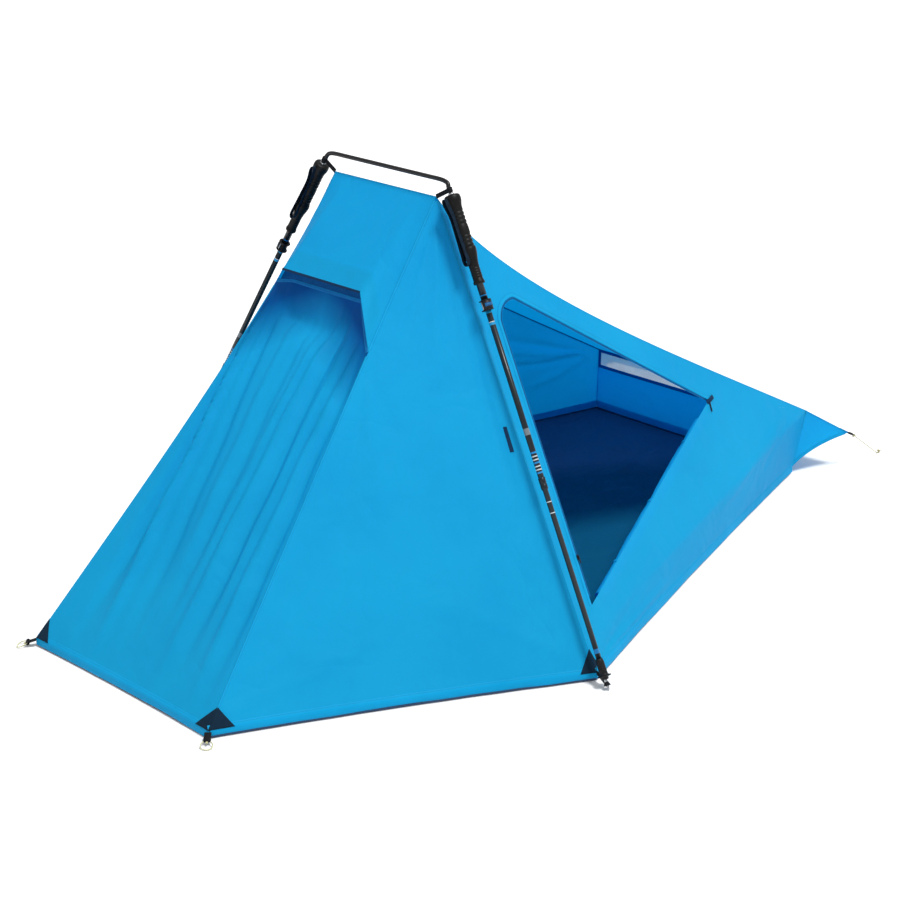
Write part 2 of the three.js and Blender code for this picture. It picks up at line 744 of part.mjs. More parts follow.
const tipSocketStop = 6;        // between the top of the tip and the top of the ferrule
const tipProfile = [[0.6, 0.5], [1.8, 1.6], [3, 6]]; // radius, height
function poleTipRod() {
  return rod([...tipProfile, [tipRadius, 14], [tipRadius, ferruleTop - tipSocketStop]]);
}

// A webbing or plastic eye round the pole with a tail towards +X, sheared up by `rise`
function eyeWithTail({ eyeRadius, thickness, width, reach, rise, low }) {
  const outer = eyeRadius + thickness;
  const half = thickness / 2;
  const meet = Math.asin(half / outer);
  const shape = new THREE.Shape();
  shape.absarc(0, 0, outer, meet, 2 * Math.PI - meet, false);
  shape.lineTo(reach, -half);
  shape.lineTo(reach, half);
  const hole = new THREE.Path();
  hole.absarc(0, 0, eyeRadius, 0, 2 * Math.PI, true);
  shape.holes.push(hole);
  const geometry = new THREE.ExtrudeGeometry(shape, { depth: width, bevelEnabled: false, curveSegments: 12 });
  const position = geometry.attributes.position;
  for (let i = 0; i < position.count; i += 1) {
    const x = position.getX(i);
    const lift = x > outer + 0.01 ? rise : 0;
    position.setZ(i, position.getZ(i) + low + lift);
  }
  return geometry;
}

// Height along the pole, distance from its axis and bearing about it, of a point near the pole
function aboutPole(group, point) {
  group.updateMatrixWorld(true);
  const local = group.worldToLocal(point.clone());
  return { height: local.z, reach: Math.hypot(local.x, local.y), bearing: Math.atan2(local.y, local.x) };
}

const footEyeSlack = 1.3;
const footEyeClearance = 3.2;   // between the strap's tail and the basket's rim
const webbingWidth = 12;
const webbingThickness = 2.4;
function footStrap(group, s) {
  const corner = aboutPole(group, poleCorner(s));
  const eyeRadius = tipRadius + footEyeSlack;
  const outer = eyeRadius + webbingThickness;
  const reach = corner.reach - 2 * seamGap;
  // The tail climbs to the corner under the basket's rim, so a steeper tail starts lower
  const rimShare = (basketRadius - outer) / (reach - outer);
  const climb = corner.height - webbingWidth / 2;
  const low = (basketLow - webbingWidth - climb * rimShare) / (1 - rimShare) - footEyeClearance;
  const geometry = eyeWithTail({
    eyeRadius,
    thickness: webbingThickness,
    width: webbingWidth,
    reach,
    rise: climb - low,
    low,
  });
  geometry.rotateZ(corner.bearing);
  return geometry;
}

function peakTab(group, s) {
  const corner = aboutPole(group, peak(s));
  const low = corner.height - webbingWidth / 2;
  const geometry = eyeWithTail({
    eyeRadius: barRadius + seamGap,
    thickness: webbingThickness,
    width: webbingWidth,
    reach: corner.reach - 2 * seamGap,
    rise: 0,
    low,
  });
  geometry.rotateZ(corner.bearing);
  return geometry;
}

// The wrist strap is a flattened loop of tape that hangs beside the grip from its head
const strapLength = 185;
const strapWidth = 15;
const strapOpen = 14;
const strapTape = 2;
const strapDrop = 8;            // top of the loop, below the top of the grip
const strapSeat = 0.2;          // the tape stands off the head's axis, so it seats this far in
function wristStrap(s) {
  const outer = new THREE.Shape();
  const r = strapOpen / 2;
  outer.absarc(0, -r, r, 0, Math.PI, false);
  outer.absarc(0, -strapLength + r, r, Math.PI, 2 * Math.PI, false);
  const hole = new THREE.Path();
  const ri = r - strapTape;
  hole.absarc(0, -r, ri, Math.PI, 0, true);
  hole.absarc(0, -strapLength + r, ri, 2 * Math.PI, Math.PI, true);
  outer.holes.push(hole);
  const geometry = new THREE.ExtrudeGeometry(outer, { depth: strapWidth, bevelEnabled: false, curveSegments: 8 });
  geometry.translate(0, 0, -strapWidth / 2);
  const up = gripTop(s).sub(poleTip(s)).normalize();
  const toHead = vec(-1, 0, 0);
  const aside = toHead.addScaledVector(up, -toHead.dot(up)).normalize();
  const face = up.clone().cross(aside).normalize();
  const hang = gripTop(s).addScaledVector(up, -strapDrop)
    .addScaledVector(aside, gripHeadRadius + strapWidth / 2 - strapSeat);
  geometry.applyMatrix4(new THREE.Matrix4().makeBasis(face, up, aside).setPosition(hang));
  return geometry;
}

function buildPole(name, s) {
  const group = new THREE.Group();
  group.position.copy(poleTip(s));
  const axis = gripTop(s).sub(poleTip(s)).normalize();
  group.quaternion.setFromUnitVectors(vec(0, 0, 1), axis);
  tent.add(group);
  add(`pole_grip_${name}`, gripGeometry(), gripFoam(), group);
  add(`pole_upper_tube_${name}`, upperTube(), blackAlloy(), group);
  add(`pole_lock_body_${name}`, lockBody(), blackPlastic(), group);
  add(`pole_lock_lever_${name}`, lockLever(s), blackPlastic(), group);
  add(`pole_upper_shaft_${name}`, upperShaft(), blackAlloy(), group);
  add(`pole_lower_shaft_${name}`, lowerShaft(), blackAlloy(), group);
  add(`pole_basket_${name}`, basketAndFerrule(), blackPlastic(), group);
  add(`pole_tip_${name}`, poleTipRod(), steel(), group);
  add(`foot_strap_${name}`, footStrap(group, s), blackWebbing(), group);
  add(`peak_tab_${name}`, peakTab(group, s), blackWebbing(), group);
  add(`wrist_strap_${name}`, wristStrap(s), blackWebbing());
}

// ---- Bar between the grips ---------------------------------------------------------------
const barBend = { before: 4, after: 2, forward: 3, inward: 10, below: 1.5 };
const barLevelFrom = 20;        // inward from the bend's end
const barStraightFrom = 60;
function tentBar() {
  const half = (s) => {
    const axis = gripTop(s).sub(poleTip(s)).normalize();
    const along = (by) => gripTop(s).addScaledVector(axis, by);
    const bend = along(barRise + barBend.after);
    const x = bend.x + barBend.forward;
    const y = bend.y - s * barBend.inward;
    const top = peakHeight + barHeightAbovePeak;
    return [
      along(seamGap), along(barRise - barBend.before), bend, vec(x, y, top - barBend.below),
      vec(x, y - s * barLevelFrom, top), vec(x, y - s * barStraightFrom, top),
    ];
  };
  return tubeAlong([...half(RIGHT), ...half(LEFT).reverse()], barRadius, 10, 32);
}

// ---- Head corner tabs, tail rings and guylines -------------------------------------------
const loopRadius = 15;
const loopCord = 1.4;
const loopSlack = 1.1;          // the loop hangs against the outer side of its eye
const eyeHeight = 12;
const eyeBore = 4.6;
const eyeWall = 1.8;
const tabReach = 24;
const outwards = (s) => vec(-0.72, s * 0.69, 0).normalize();

const eyeCentre = (s) => {
  const corner = headCorner(s);
  return vec(corner.x, corner.y, eyeHeight).addScaledVector(outwards(s), tabReach);
};

function headTab(s) {
  const geometry = eyeWithTail({
    eyeRadius: eyeBore,
    thickness: eyeWall,
    width: webbingWidth,
    reach: tabReach + 2 * seamGap,
    rise: 0,
    low: -webbingWidth / 2,
  });
  const inwards = outwards(s).negate();
  const rise = hemHeight - eyeHeight - 4;
  const climb = inwards.clone().multiplyScalar(tabReach).add(vec(0, 0, rise)).normalize();
  const across = vec(-inwards.y, inwards.x, 0);
  const normal = across.clone().cross(climb);
  geometry.applyMatrix4(new THREE.Matrix4().makeBasis(climb, normal, across).setPosition(eyeCentre(s)));
  return geometry;
}

function stakeLoop(s) {
  const geometry = new THREE.TorusGeometry(loopRadius, loopCord, 6, 20);
  const dip = Math.asin((eyeHeight - loopCord - seamGap) / (2 * loopRadius + loopSlack));
  const out = outwards(s);
  const reach = out.clone().multiplyScalar(Math.cos(dip)).add(vec(0, 0, -Math.sin(dip)));
  const across = vec(-out.y, out.x, 0);
  const normal = reach.clone().cross(across);
  const centre = eyeCentre(s).addScaledVector(reach, loopRadius + loopSlack);
  geometry.applyMatrix4(new THREE.Matrix4().makeBasis(reach, across, normal).setPosition(centre));
  return geometry;
}

const ringRadius = 9;
const ringWire = 2;
function tailRing(s) {
  const geometry = new THREE.TorusGeometry(ringRadius, ringWire, 6, 16);
  const out = tail(s).sub(wallTop(s)).normalize();
  const across = vec(0, 1, 0).addScaledVector(out, -out.y).normalize();
  const normal = out.clone().cross(across);
  const centre = tail(s).addScaledVector(out, ringRadius + ringWire + seamGap);
  geometry.applyMatrix4(new THREE.Matrix4().makeBasis(out, across, normal).setPosition(centre));
  return geometry;
}

// Each guyline runs tight from its ring to the ground, where its knotted end lies
const guyRoute = [
  [0, 0, 0], [14, 0.5, -10], [34, 1.2, -24], [60, 2.1, -42.5], [86, 3, -61], [110, 3.9, -78],
  [130, 4.6, -92], [141, 5, -100], [149, 5.4, -104.3], [157, 5.7, -105.2],
];
function guyline(s) {
  const out = tail(s).sub(wallTop(s)).normalize();
  const start = tail(s).addScaledVector(out, 2 * (ringRadius + ringWire) + 3 * seamGap);
  const points = guyRoute.map(([x, y, z]) => start.clone().add(vec(x, s * y, z)));
  return tubeAlong(points, guyRadius, 8, 28);
}

function buildCorners() {
  for (const [name, s] of sides) {
    add(`head_tab_${name}`, headTab(s), blackWebbing());
    add(`stake_loop_${name}`, stakeLoop(s), guyCord());
    add(`tail_ring_${name}`, tailRing(s), blackPlastic());
    add(`guyline_${name}`, guyline(s), guyCord());
  }
}

buildHead();
buildWalls();
buildDoor();
buildFloor();
for (const [name, s] of sides) {
  buildPole(name, s);
}
add('tent_bar', tentBar(), blackAlloy());
buildCorners();

export default tent;
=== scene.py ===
"""A two-person trekking-pole tent: its cloth, seams, webbing, zip and poles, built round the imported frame.

Metres, +Z up, in the frame's own axes: -X is the head end with the hooded vent, +X the foot end
with the mesh window, and the door is in the right wall, on the -Y side.
"""
import math
import random

import bpy
import numpy as np
from mathutils import Matrix, Vector, noise


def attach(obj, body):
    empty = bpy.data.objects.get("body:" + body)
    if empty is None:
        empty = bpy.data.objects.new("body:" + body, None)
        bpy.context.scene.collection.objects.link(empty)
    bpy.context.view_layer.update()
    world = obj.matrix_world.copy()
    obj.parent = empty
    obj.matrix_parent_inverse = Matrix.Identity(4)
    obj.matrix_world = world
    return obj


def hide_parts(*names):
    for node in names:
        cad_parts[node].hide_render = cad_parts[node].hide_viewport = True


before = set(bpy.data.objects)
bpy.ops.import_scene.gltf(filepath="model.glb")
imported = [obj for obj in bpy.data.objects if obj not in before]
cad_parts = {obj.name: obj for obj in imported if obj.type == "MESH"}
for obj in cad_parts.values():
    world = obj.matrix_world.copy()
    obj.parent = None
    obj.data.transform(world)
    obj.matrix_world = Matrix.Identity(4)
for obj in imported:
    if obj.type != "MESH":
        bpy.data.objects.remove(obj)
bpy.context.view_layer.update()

# ---- Sizes, as the frame has them --------------------------------------------------------
HEAD_REACH, FOOT_REACH = 0.873, 1.527
HEAD_WIDTH, FOOT_WIDTH = 0.714, 0.822
CORNER_SPAN, CORNER_FORWARD = 1.706, 0.018
POLE_SPAN = 1.820
PEAK_HEIGHT, PEAK_WIDTH, PEAK_FORWARD = 1.153, 0.386, 0.104
HEM_HEIGHT = 0.024
FOOT_WALL_HEIGHT, FOOT_WALL_LEAN, FOOT_WALL_FLARE = 0.215, 0.027, 0.019
TAIL_REACH, TAIL_FLARE, TAIL_DROP = 0.143, 0.073, 0.096
FLOOR_TOP = 0.0016
HOOD_HEIGHT, HOOD_PROUD, HOOD_HALF = 0.937, 0.054, 0.150
SILL_HEIGHT, SILL_HALF = 0.905, 0.135
WINDOW_SILL = 0.153
DOOR_LOW, DOOR_HIGH, DOOR_REAR = (1.145, 0.074), (0.300, 0.118), (0.713, 0.980)
DOOR_FRONT_SHOULDER, DOOR_TOP_SHOULDER = (0.326, 0.096), (0.282, 0.156)
ZIP_WIDTH = 0.008
ROLL_RADIUS = 0.017
SHAFT_RADIUS, LOW_SHAFT_RADIUS = 0.0079, 0.007
TUBE_RADIUS = 0.00945           # outside of the short tube below the grip
GRIP_LENGTH, GRIP_RADIUS, GRIP_HEAD_RADIUS = 0.243, 0.0175, 0.022
LOCK_LENGTH, LOCK_FROM_TOP = 0.029, 0.316
COLLAR_HEIGHT, FERRULE_TOP = 0.575, 0.086
BASKET_HEIGHT, BASKET_RADIUS = 0.043, 0.019
TIP_RADIUS = 0.0045
GRIP_ABOVE, GRIP_OUTSIDE, GRIP_FORWARD = 0.013, 0.053, 0.002
BAR_RADIUS, BAR_RISE, BAR_ABOVE = 0.006, 0.027, 0.047
GUY_DIAMETER = 0.0025
GAP = 0.0003
TUB_LOW, TUB_TOP = 0.0006, 0.015            # the hems hang over the tub wall
PEAK_TRIM = 0.012
FLOOR_COLUMNS, FLOOR_ROWS, FLOOR_CREASES = 150, 100, 34

SEAM_WIDTH, SEAM_HEIGHT = 0.008, 0.0003
HEM_WIDTH, HEM_THICK = 0.013, 0.0007
HEM_FOLD, HEM_OVER = 0.0012, 0.0009
PATCH_RISE, POLE_PATCH_RISE = 0.062, 0.064
RIBBON_STEP, SKIN, WELD = 0.012, 0.0001, 2e-5
SKIRT = ((0.25, 0.0012), (0.6, 0.0016), (0.93, 0.0014), (1.0, 0.0008), (0.93, 0.0002), (0.5, 0.0002))
GATHER_REACH, GATHER_START, GATHER_FADE, GATHERS_PER_M = 0.12, 0.008, 0.035, 26
CREASE_WANDER = 0.008
TURNED_UV = 0.012

RIGHT, LEFT = -1, 1
HOOD_SIDE = {RIGHT: 0.305, LEFT: 0.225}     # where the hood ends on each front seam, as a share from the peak
SEAM_DRAWN = {RIGHT: 0.006, LEFT: 0.034}
SIDES = (("right", RIGHT), ("left", LEFT))


# ---- Points and edges --------------------------------------------------------------------
def vec(x, y, z):
    return np.array((x, y, z), float)


def unit(v):
    return v / np.maximum(np.linalg.norm(v, axis=-1, keepdims=True), 1e-12)


def peak(s):
    return vec(PEAK_FORWARD, s * PEAK_WIDTH / 2, PEAK_HEIGHT)


def head_corner(s):
    return vec(-HEAD_REACH, s * HEAD_WIDTH / 2, HEM_HEIGHT)


def pole_corner(s):
    return vec(CORNER_FORWARD, s * CORNER_SPAN / 2, HEM_HEIGHT)


def foot_corner(s):
    return vec(FOOT_REACH, s * FOOT_WIDTH / 2, HEM_HEIGHT)


def wall_top(s):
    return vec(FOOT_REACH + FOOT_WALL_LEAN, s * (FOOT_WIDTH / 2 + FOOT_WALL_FLARE), FOOT_WALL_HEIGHT)


def tail(s):
    return wall_top(s) + vec(TAIL_REACH, s * TAIL_FLARE, -TAIL_DROP)


def pole_tip(s):
    return vec(0, s * POLE_SPAN / 2, 0)


def grip_top(s):
    return peak(s) + vec(GRIP_FORWARD, s * GRIP_OUTSIDE, GRIP_ABOVE)


def wall_point(s, place):
    down = unit(pole_corner(s) - peak(s))
    chord = wall_top(s) - peak(s)
    across = unit(chord - down * (chord @ down))
    return peak(s) + down * place[0] + across * place[1]


def head_wall_point(y, z):
    t = (PEAK_HEIGHT - z) / (PEAK_HEIGHT - HEM_HEIGHT)
    return vec(PEAK_FORWARD - t * (PEAK_FORWARD + HEAD_REACH), y, z)


def on_front_seam(s, t):
    """A place on the seam between the head and front walls, which the cloth's pull draws inwards."""
    t = np.asarray(t, float)[..., None]
    drawn = SEAM_DRAWN[s] * unit(vec(0.1, -s, -0.25)) * np.sin(np.pi * t ** 0.72)
    return peak(s) + (head_corner(s) - peak(s)) * t + drawn


def front_seam(s, start=0.0, stop=1.0):
    return lambda t: on_front_seam(s, start + (stop - start) * t)


# An edge is a function of an array of shares from 0 to 1
def line(a, b):
    return lambda t: a + (b - a) * t[:, None]


def bowed(a, b, bow):
    return lambda t: a + (b - a) * t[:, None] + bow * (4 * t * (1 - t))[:, None]


def broken(points, steps):
    knots = np.concatenate(([0], np.cumsum(steps))) / sum(steps)
    places = np.array(points)
    return lambda t: np.stack([np.interp(t, knots, places[:, k]) for k in range(3)], 1)


def bezier(a, b, c, d):
    def at(t):
        t = t[:, None]
        return (1 - t) ** 3 * a + 3 * (1 - t) ** 2 * t * b + 3 * (1 - t) * t * t * c + t ** 3 * d
    return at


def roof_seam(s):
    chord = wall_top(s) - peak(s)
    along = unit(chord)
    sag = pole_corner(s) - peak(s)
    sag = unit(sag - along * (sag @ along))
    length = np.linalg.norm(chord)
    near_peak = peak(s) + along * 0.14 * length + sag * 0.1 * length
    near_foot = peak(s) + along * 0.58 * length + sag * 0.04 * length
    return bezier(peak(s), near_peak, near_foot, wall_top(s))


def head_hem():
    return bowed(head_corner(LEFT), head_corner(RIGHT), vec(0.006, 0, 0))


def front_hem(s):
    return bowed(head_corner(s), pole_corner(s), vec(0, -s * 0.012, 0))


def side_hem(s):
    return bowed(pole_corner(s), foot_corner(s), vec(0, -s * 0.010, 0))


def foot_hem():
    return bowed(foot_corner(RIGHT), foot_corner(LEFT), vec(-0.006, 0, 0))


def shares(count):
    return np.linspace(0, 1, count + 1)


def along_lengths(points):
    steps = np.linalg.norm(np.diff(points, axis=0), axis=1)
    return np.concatenate(([0], np.cumsum(steps)))


def resample(points, count, *others):
    """The curve at even steps of its length, with other arrays carried along it."""
    lengths = along_lengths(points)
    wanted = np.linspace(0, lengths[-1], count + 1)
    out = [np.stack([np.interp(wanted, lengths, a[:, k]) for k in range(3)], 1) for a in (points, *others)]
    return out[0] if len(out) == 1 else out


def spline(points, count):
    """A smooth line through points (centripetal Catmull-Rom), at even steps."""
    p = np.array(points, float)
    p = np.vstack((2 * p[0] - p[1], p, 2 * p[-1] - p[-2]))
    run = []
    for k in range(1, len(p) - 2):
        a, b, c, d = p[k - 1:k + 3]
        t0 = 0
        t1 = t0 + np.linalg.norm(b - a) ** 0.5
        t2 = t1 + np.linalg.norm(c - b) ** 0.5
        t3 = t2 + np.linalg.norm(d - c) ** 0.5
        for t in np.linspace(t1, t2, 12, endpoint=False):
            a1 = (t1 - t) / (t1 - t0) * a + (t - t0) / (t1 - t0) * b
            a2 = (t2 - t) / (t2 - t1) * b + (t - t1) / (t2 - t1) * c
            a3 = (t3 - t) / (t3 - t2) * c + (t - t2) / (t3 - t2) * d
            b1 = (t2 - t) / (t2 - t0) * a1 + (t - t0) / (t2 - t0) * a2
            b2 = (t3 - t) / (t3 - t1) * a2 + (t - t1) / (t3 - t1) * a3
            run.append((t2 - t) / (t2 - t1) * b1 + (t - t1) / (t2 - t1) * b2)
    run.append(p[-2])
    return resample(np.array(run), count)


# ---- Meshes ------------------------------------------------------------------------------
def mesh_piece(name, points, faces, uvs=None, material=None, smooth=True):
    """A mesh object; uvs has one pair for each vertex, in metres."""
    mesh = bpy.data.meshes.new(name)
    mesh.from_pydata([tuple(p) for p in points], [], [tuple(int(i) for i in f) for f in faces])
    mesh.validate()
    if uvs is not None:
        layer = mesh.uv_layers.new(name="UVMap")
        loops = np.array([loop.vertex_index for loop in mesh.loops])
        layer.data.foreach_set("uv", np.asarray(uvs, np.float32)[loops].ravel())
    if smooth:
        mesh.polygons.foreach_set("use_smooth", [True] * len(mesh.polygons))
    made = bpy.data.objects.new(name, mesh)
    bpy.context.scene.collection.objects.link(made)
    if material:
        mesh.materials.append(material)
    mesh.update()
    return made


def grid_faces(rows, columns, wrap_columns=False, first=0):
    faces = []
    across = columns if wrap_columns else columns - 1
    for r in range(rows - 1):
        for c in range(across):
            d = (c + 1) % columns
            faces.append((first + r * columns + c, first + r * columns + d,
                          first + (r + 1) * columns + d, first + (r + 1) * columns + c))
    return faces


def wrap_rows(rows, columns):
    """The faces that join a grid's last row to its first."""
    last = (rows - 1) * columns
    return [(last + c, last + (c + 1) % columns, (c + 1) % columns, c) for c in range(columns)]


def grid_uvs(across, along):
    """UVs for a grid: one share across and one along for each column and row."""
    pairs = np.broadcast_arrays(np.asarray(across)[None, :], np.asarray(along)[:, None])
    return np.stack(pairs, -1).reshape(-1, 2)


def finished(piece, body, slot, *nodes):
    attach(piece, body)
    if nodes:
        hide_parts(*nodes)
    return piece


def lathe(name, profile, matrix, material, segments=48, scallop=None):
    """A turned piece: (radius, height) pairs that run upwards, closed on the axis or on themselves."""
    closed = profile[0] == profile[-1]
    ring = np.array(profile[:-1] if closed else profile, float)
    angles = np.linspace(0, 2 * math.pi, segments, endpoint=False)
    points, uvs = [], []
    for r, z in ring:
        for a in angles:
            radius = scallop(r, a) if scallop else r
            points.append((radius * math.cos(a), radius * math.sin(a), z))
            uvs.append((a * TURNED_UV, z))
    faces = grid_faces(len(ring), segments, True)
    if closed:
        faces += wrap_rows(len(ring), segments)
    else:
        for first, turn in ((0, -1), ((len(ring) - 1) * segments, 1)):
            if ring[0 if turn < 0 else -1][0] > 1e-9:
                faces.append([first + c for c in range(segments)][::turn])
    piece = mesh_piece(name, points, faces, uvs, material)
    piece.data.transform(matrix)
    return piece


def frames_along(path, hint):
    """Tangent, side and up at each point, turning as little as possible from the hint."""
    tangents = unit(np.gradient(path, axis=0))
    up = unit(hint - tangents[0] * (hint @ tangents[0]))
    ups = []
    for t in tangents:
        up = unit(up - t * (up @ t))
        ups.append(up)
    ups = np.array(ups)
    return tangents, np.cross(ups, tangents), ups


def loop_frames(path, ups):
    tangents = unit(np.roll(path, -1, 0) - np.roll(path, 1, 0))
    ups = unit(ups - tangents * (ups * tangents).sum(1, keepdims=True))
    return np.cross(ups, tangents), ups


def sweep(name, path, section, hint, material, loop=False):
    """section's (side, up) pairs carried along path. UVs: round the section, and along the path."""
    path = np.asarray(path, float)
    _, side, ups = frames_along(path, np.asarray(hint, float))
    if loop:
        side, ups = loop_frames(path, ups)
    section = np.array(section, float)
    points = path[:, None] + side[:, None] * section[None, :, :1] + ups[:, None] * section[None, :, 1:]
    count = len(section)
    around = along_lengths(np.c_[np.vstack((section, section[:1])), np.zeros(count + 1)])[:-1]
    faces = grid_faces(len(path), count, True)
    if loop:
        faces += wrap_rows(len(path), count)
    else:
        faces.append(list(range(count))[::-1])
        faces.append([(len(path) - 1) * count + c for c in range(count)])
    return mesh_piece(name, points.reshape(-1, 3), faces, grid_uvs(around, along_lengths(path)), material)


def circle(radius, count=12):
    turns = np.linspace(0, 2 * math.pi, count, endpoint=False)
    return [(radius * math.cos(a), radius * math.sin(a)) for a in turns]


def tape_section(width, thickness):
    """A flat tape's section: width along up, thickness along side, with rounded edges."""
    w, t = width / 2, thickness / 2
    return [(-t, -w + t), (-t * 0.5, -w), (t * 0.5, -w), (t, -w + t), (t, 0),
            (t, w - t), (t * 0.5, w), (-t * 0.5, w), (-t, w - t), (-t, 0)]


BOX_SIGNS = ((-1, -1, -1), (1, -1, -1), (1, 1, -1), (-1, 1, -1), (-1, -1, 1), (1, -1, 1), (1, 1, 1),
             (-1, 1, 1))
BOX_FACES = ((0, 3, 2, 1), (4, 5, 6, 7), (0, 1, 5, 4), (1, 2, 6, 5), (2, 3, 7, 6), (3, 0, 4, 7))


def oriented_box(centre, axes, size, round_off, name, material):
    """A block with rounded edges: axes are three unit vectors, size its three lengths."""
    half = np.array(size) / 2
    points = [centre + sum(np.array(axes[k]) * half[k] * q[k] for k in range(3)) for q in BOX_SIGNS]
    uvs = [(q[0] * half[0], q[1] * half[1]) for q in BOX_SIGNS]
    piece = mesh_piece(name, points, BOX_FACES, uvs, material, smooth=False)
    bevel = piece.modifiers.new("round_off", "BEVEL")
    bevel.width = round_off
    bevel.segments = 3
    return piece

# ---- Materials ---------------------------------------------------------------------------
class Shade:
    """A material and short ways to add nodes to it."""

    def __init__(self, name):
        self.material = bpy.data.materials.new(name)
        self.material.use_nodes = True
        self.tree = self.material.node_tree
        self.shader = self.tree.nodes["Principled BSDF"]
        self.output = self.tree.nodes["Material Output"]

    def add(self, kind, settings=None, **inputs):
        made = self.tree.nodes.new(kind)
        for key, value in (settings or {}).items():
            setattr(made, key, value)
        for key, value in inputs.items():
            place = int(key[1:]) if key[0] == "n" and key[1:].isdigit() else key.replace("_", " ")
            self.put(made.inputs[place], value)
        return made

    def put(self, socket, value):
        if isinstance(value, bpy.types.NodeSocket):
            self.tree.links.new(value, socket)
        else:
            socket.default_value = value

    def set(self, **inputs):
        for key, value in inputs.items():
            self.put(self.shader.inputs[key.replace("_", " ")], value)
        return self

    def math(self, operation, *values):
        made = self.add("ShaderNodeMath", {"operation": operation})
        for k, value in enumerate(values):
            self.put(made.inputs[k], value)
        return made.outputs[0]

    def times(self, a, b):
        return self.math("MULTIPLY", a, b)

    def plus(self, a, b):
        return self.math("ADD", a, b)

    def minus(self, a, b):
        return self.math("SUBTRACT", a, b)

    def highest(self, a, b):
        return self.math("MAXIMUM", a, b)

    def unsigned(self, value):
        return self.math("ABSOLUTE", value)

    def uv(self):
        parts = self.add("ShaderNodeSeparateXYZ", Vector=self.add("ShaderNodeUVMap").outputs[0])
        return parts.outputs[0], parts.outputs[1]

    def noise(self, scale, detail=3.0, roughness=0.5, stretch=None):
        place = self.add("ShaderNodeTexCoord").outputs["Object"]
        if stretch:
            place = self.add("ShaderNodeMapping", Vector=place, Scale=stretch).outputs[0]
        made = self.add("ShaderNodeTexNoise", Vector=place, Scale=scale, Detail=detail, Roughness=roughness)
        return made.outputs["Fac"]

    def ridges(self, scale, distortion):
        """Sharp-crested creases: high along the lines where a distorted noise crosses its middle."""
        place = self.add("ShaderNodeTexCoord").outputs["Object"]
        made = self.add("ShaderNodeTexNoise", Vector=place, Scale=scale, Detail=2.5, Roughness=0.45,
                        Distortion=distortion)
        return self.unsigned(self.minus(made.outputs["Fac"], 0.5))

    def bump(self, height, distance, strength=1.0, after=None):
        made = self.add("ShaderNodeBump", Height=height, Distance=distance, Strength=strength)
        if after:
            self.put(made.inputs["Normal"], after)
        return made.outputs[0]

    def mix(self, factor, a, b):
        made = self.add("ShaderNodeMix", {"data_type": "RGBA"}, n0=factor)
        self.put(made.inputs[6], a)
        self.put(made.inputs[7], b)
        return made.outputs[2]

    def range(self, value, low, high, to_low=0.0, to_high=1.0):
        made = self.add("ShaderNodeMapRange", Value=value, From_Min=low, From_Max=high, To_Min=to_low,
                        To_Max=to_high)
        return made.outputs[0]

    def wave(self, value, pitch):
        """|sin| with one hump for each pitch."""
        return self.unsigned(self.math("SINE", self.times(value, math.pi / pitch)))

    def translucent(self, colour, share, normal):
        glow = self.add("ShaderNodeBsdfTranslucent", Color=colour, Normal=normal)
        mixed = self.add("ShaderNodeMixShader", n0=share, n1=self.shader.outputs[0], n2=glow.outputs[0])
        self.put(self.output.inputs["Surface"], mixed.outputs[0])


def rgb(r, g, b):
    return (r, g, b, 1.0)


def dashes(shade, along, across, rows, pitch=0.0032, thread=0.0007):
    """Rows of stitches, 0 or 1: a thread's width across, and three quarters of each pitch long."""
    on = shade.math("LESS_THAN", shade.math("FRACT", shade.times(along, 1 / pitch)), 0.74)
    total = 0.0
    for row in rows:
        near = shade.math("LESS_THAN", shade.unsigned(shade.minus(across, row)), thread)
        total = shade.highest(near, total)
    return shade.times(on, total)


def ripstop(name, colour, deep, glow, share, roughness=0.5, grid=0.0055, pitch=0.00055, rows=(), thread=None,
            hood_shade=None):
    """Coated ripstop nylon: fine plain weave, a faint square grid, soft crinkles; light shines through it.

    The last argument is (low, high, colour, glow) and paints the shade that the hood casts below it: from low
    to high, by height plus half the distance from the tent's middle, the cloth and its glow turn to that
    darker colour and glow.
    """
    shade = Shade(name)
    u, v = shade.uv()
    warp = shade.math("SINE", shade.times(u, math.pi / pitch))
    weft = shade.math("SINE", shade.times(v, math.pi / pitch))
    weave = shade.times(warp, weft)
    lines = shade.highest(shade.math("POWER", shade.wave(u, grid), 60.0),
                       shade.math("POWER", shade.wave(v, grid), 60.0))
    soft = shade.noise(2.6, 3.0)
    crinkle = shade.noise(16.0, 5.0, 0.55)
    tone = shade.plus(shade.times(soft, 0.75), shade.times(crinkle, 0.25))
    base = shade.mix(shade.range(tone, 0.35, 0.65), deep, colour)
    base = shade.mix(shade.times(lines, 0.10), base, deep)
    # painted shade: the hood's shadow, darkening the cloth and its glow towards the hood
    if hood_shade:
        low, high, shade_colour, shade_glow = hood_shade
        place = shade.add("ShaderNodeSeparateXYZ",
                          Vector=shade.add("ShaderNodeTexCoord").outputs["Object"]).outputs
        below_hood = shade.plus(place[2], shade.times(shade.unsigned(place[1]), 0.5))
        below_hood = shade.plus(below_hood, shade.times(soft, 0.04))
        shade_share = shade.range(below_hood, low, high)
        base = shade.mix(shade_share, base, shade_colour)
        glow = shade.mix(shade_share, glow, shade_glow)
    height = shade.plus(shade.times(weave, 0.5), lines)
    if rows:
        stitches = dashes(shade, v, u, rows)
        base = shade.mix(stitches, base, thread)
        height = shade.plus(height, shade.times(stitches, 4.0))
    normal = shade.bump(shade.ridges(5.0, 0.9), 0.018, 0.40)
    normal = shade.bump(crinkle, 0.0030, 0.45, normal)
    normal = shade.bump(height, 0.00006, 0.5, normal)
    shade.set(Base_Color=base, Roughness=roughness, Normal=normal, Specular_IOR_Level=0.07,
              Sheen_Weight=0.02, Sheen_Roughness=0.4, Sheen_Tint=colour)
    shade.translucent(glow, share, normal)
    return shade.material


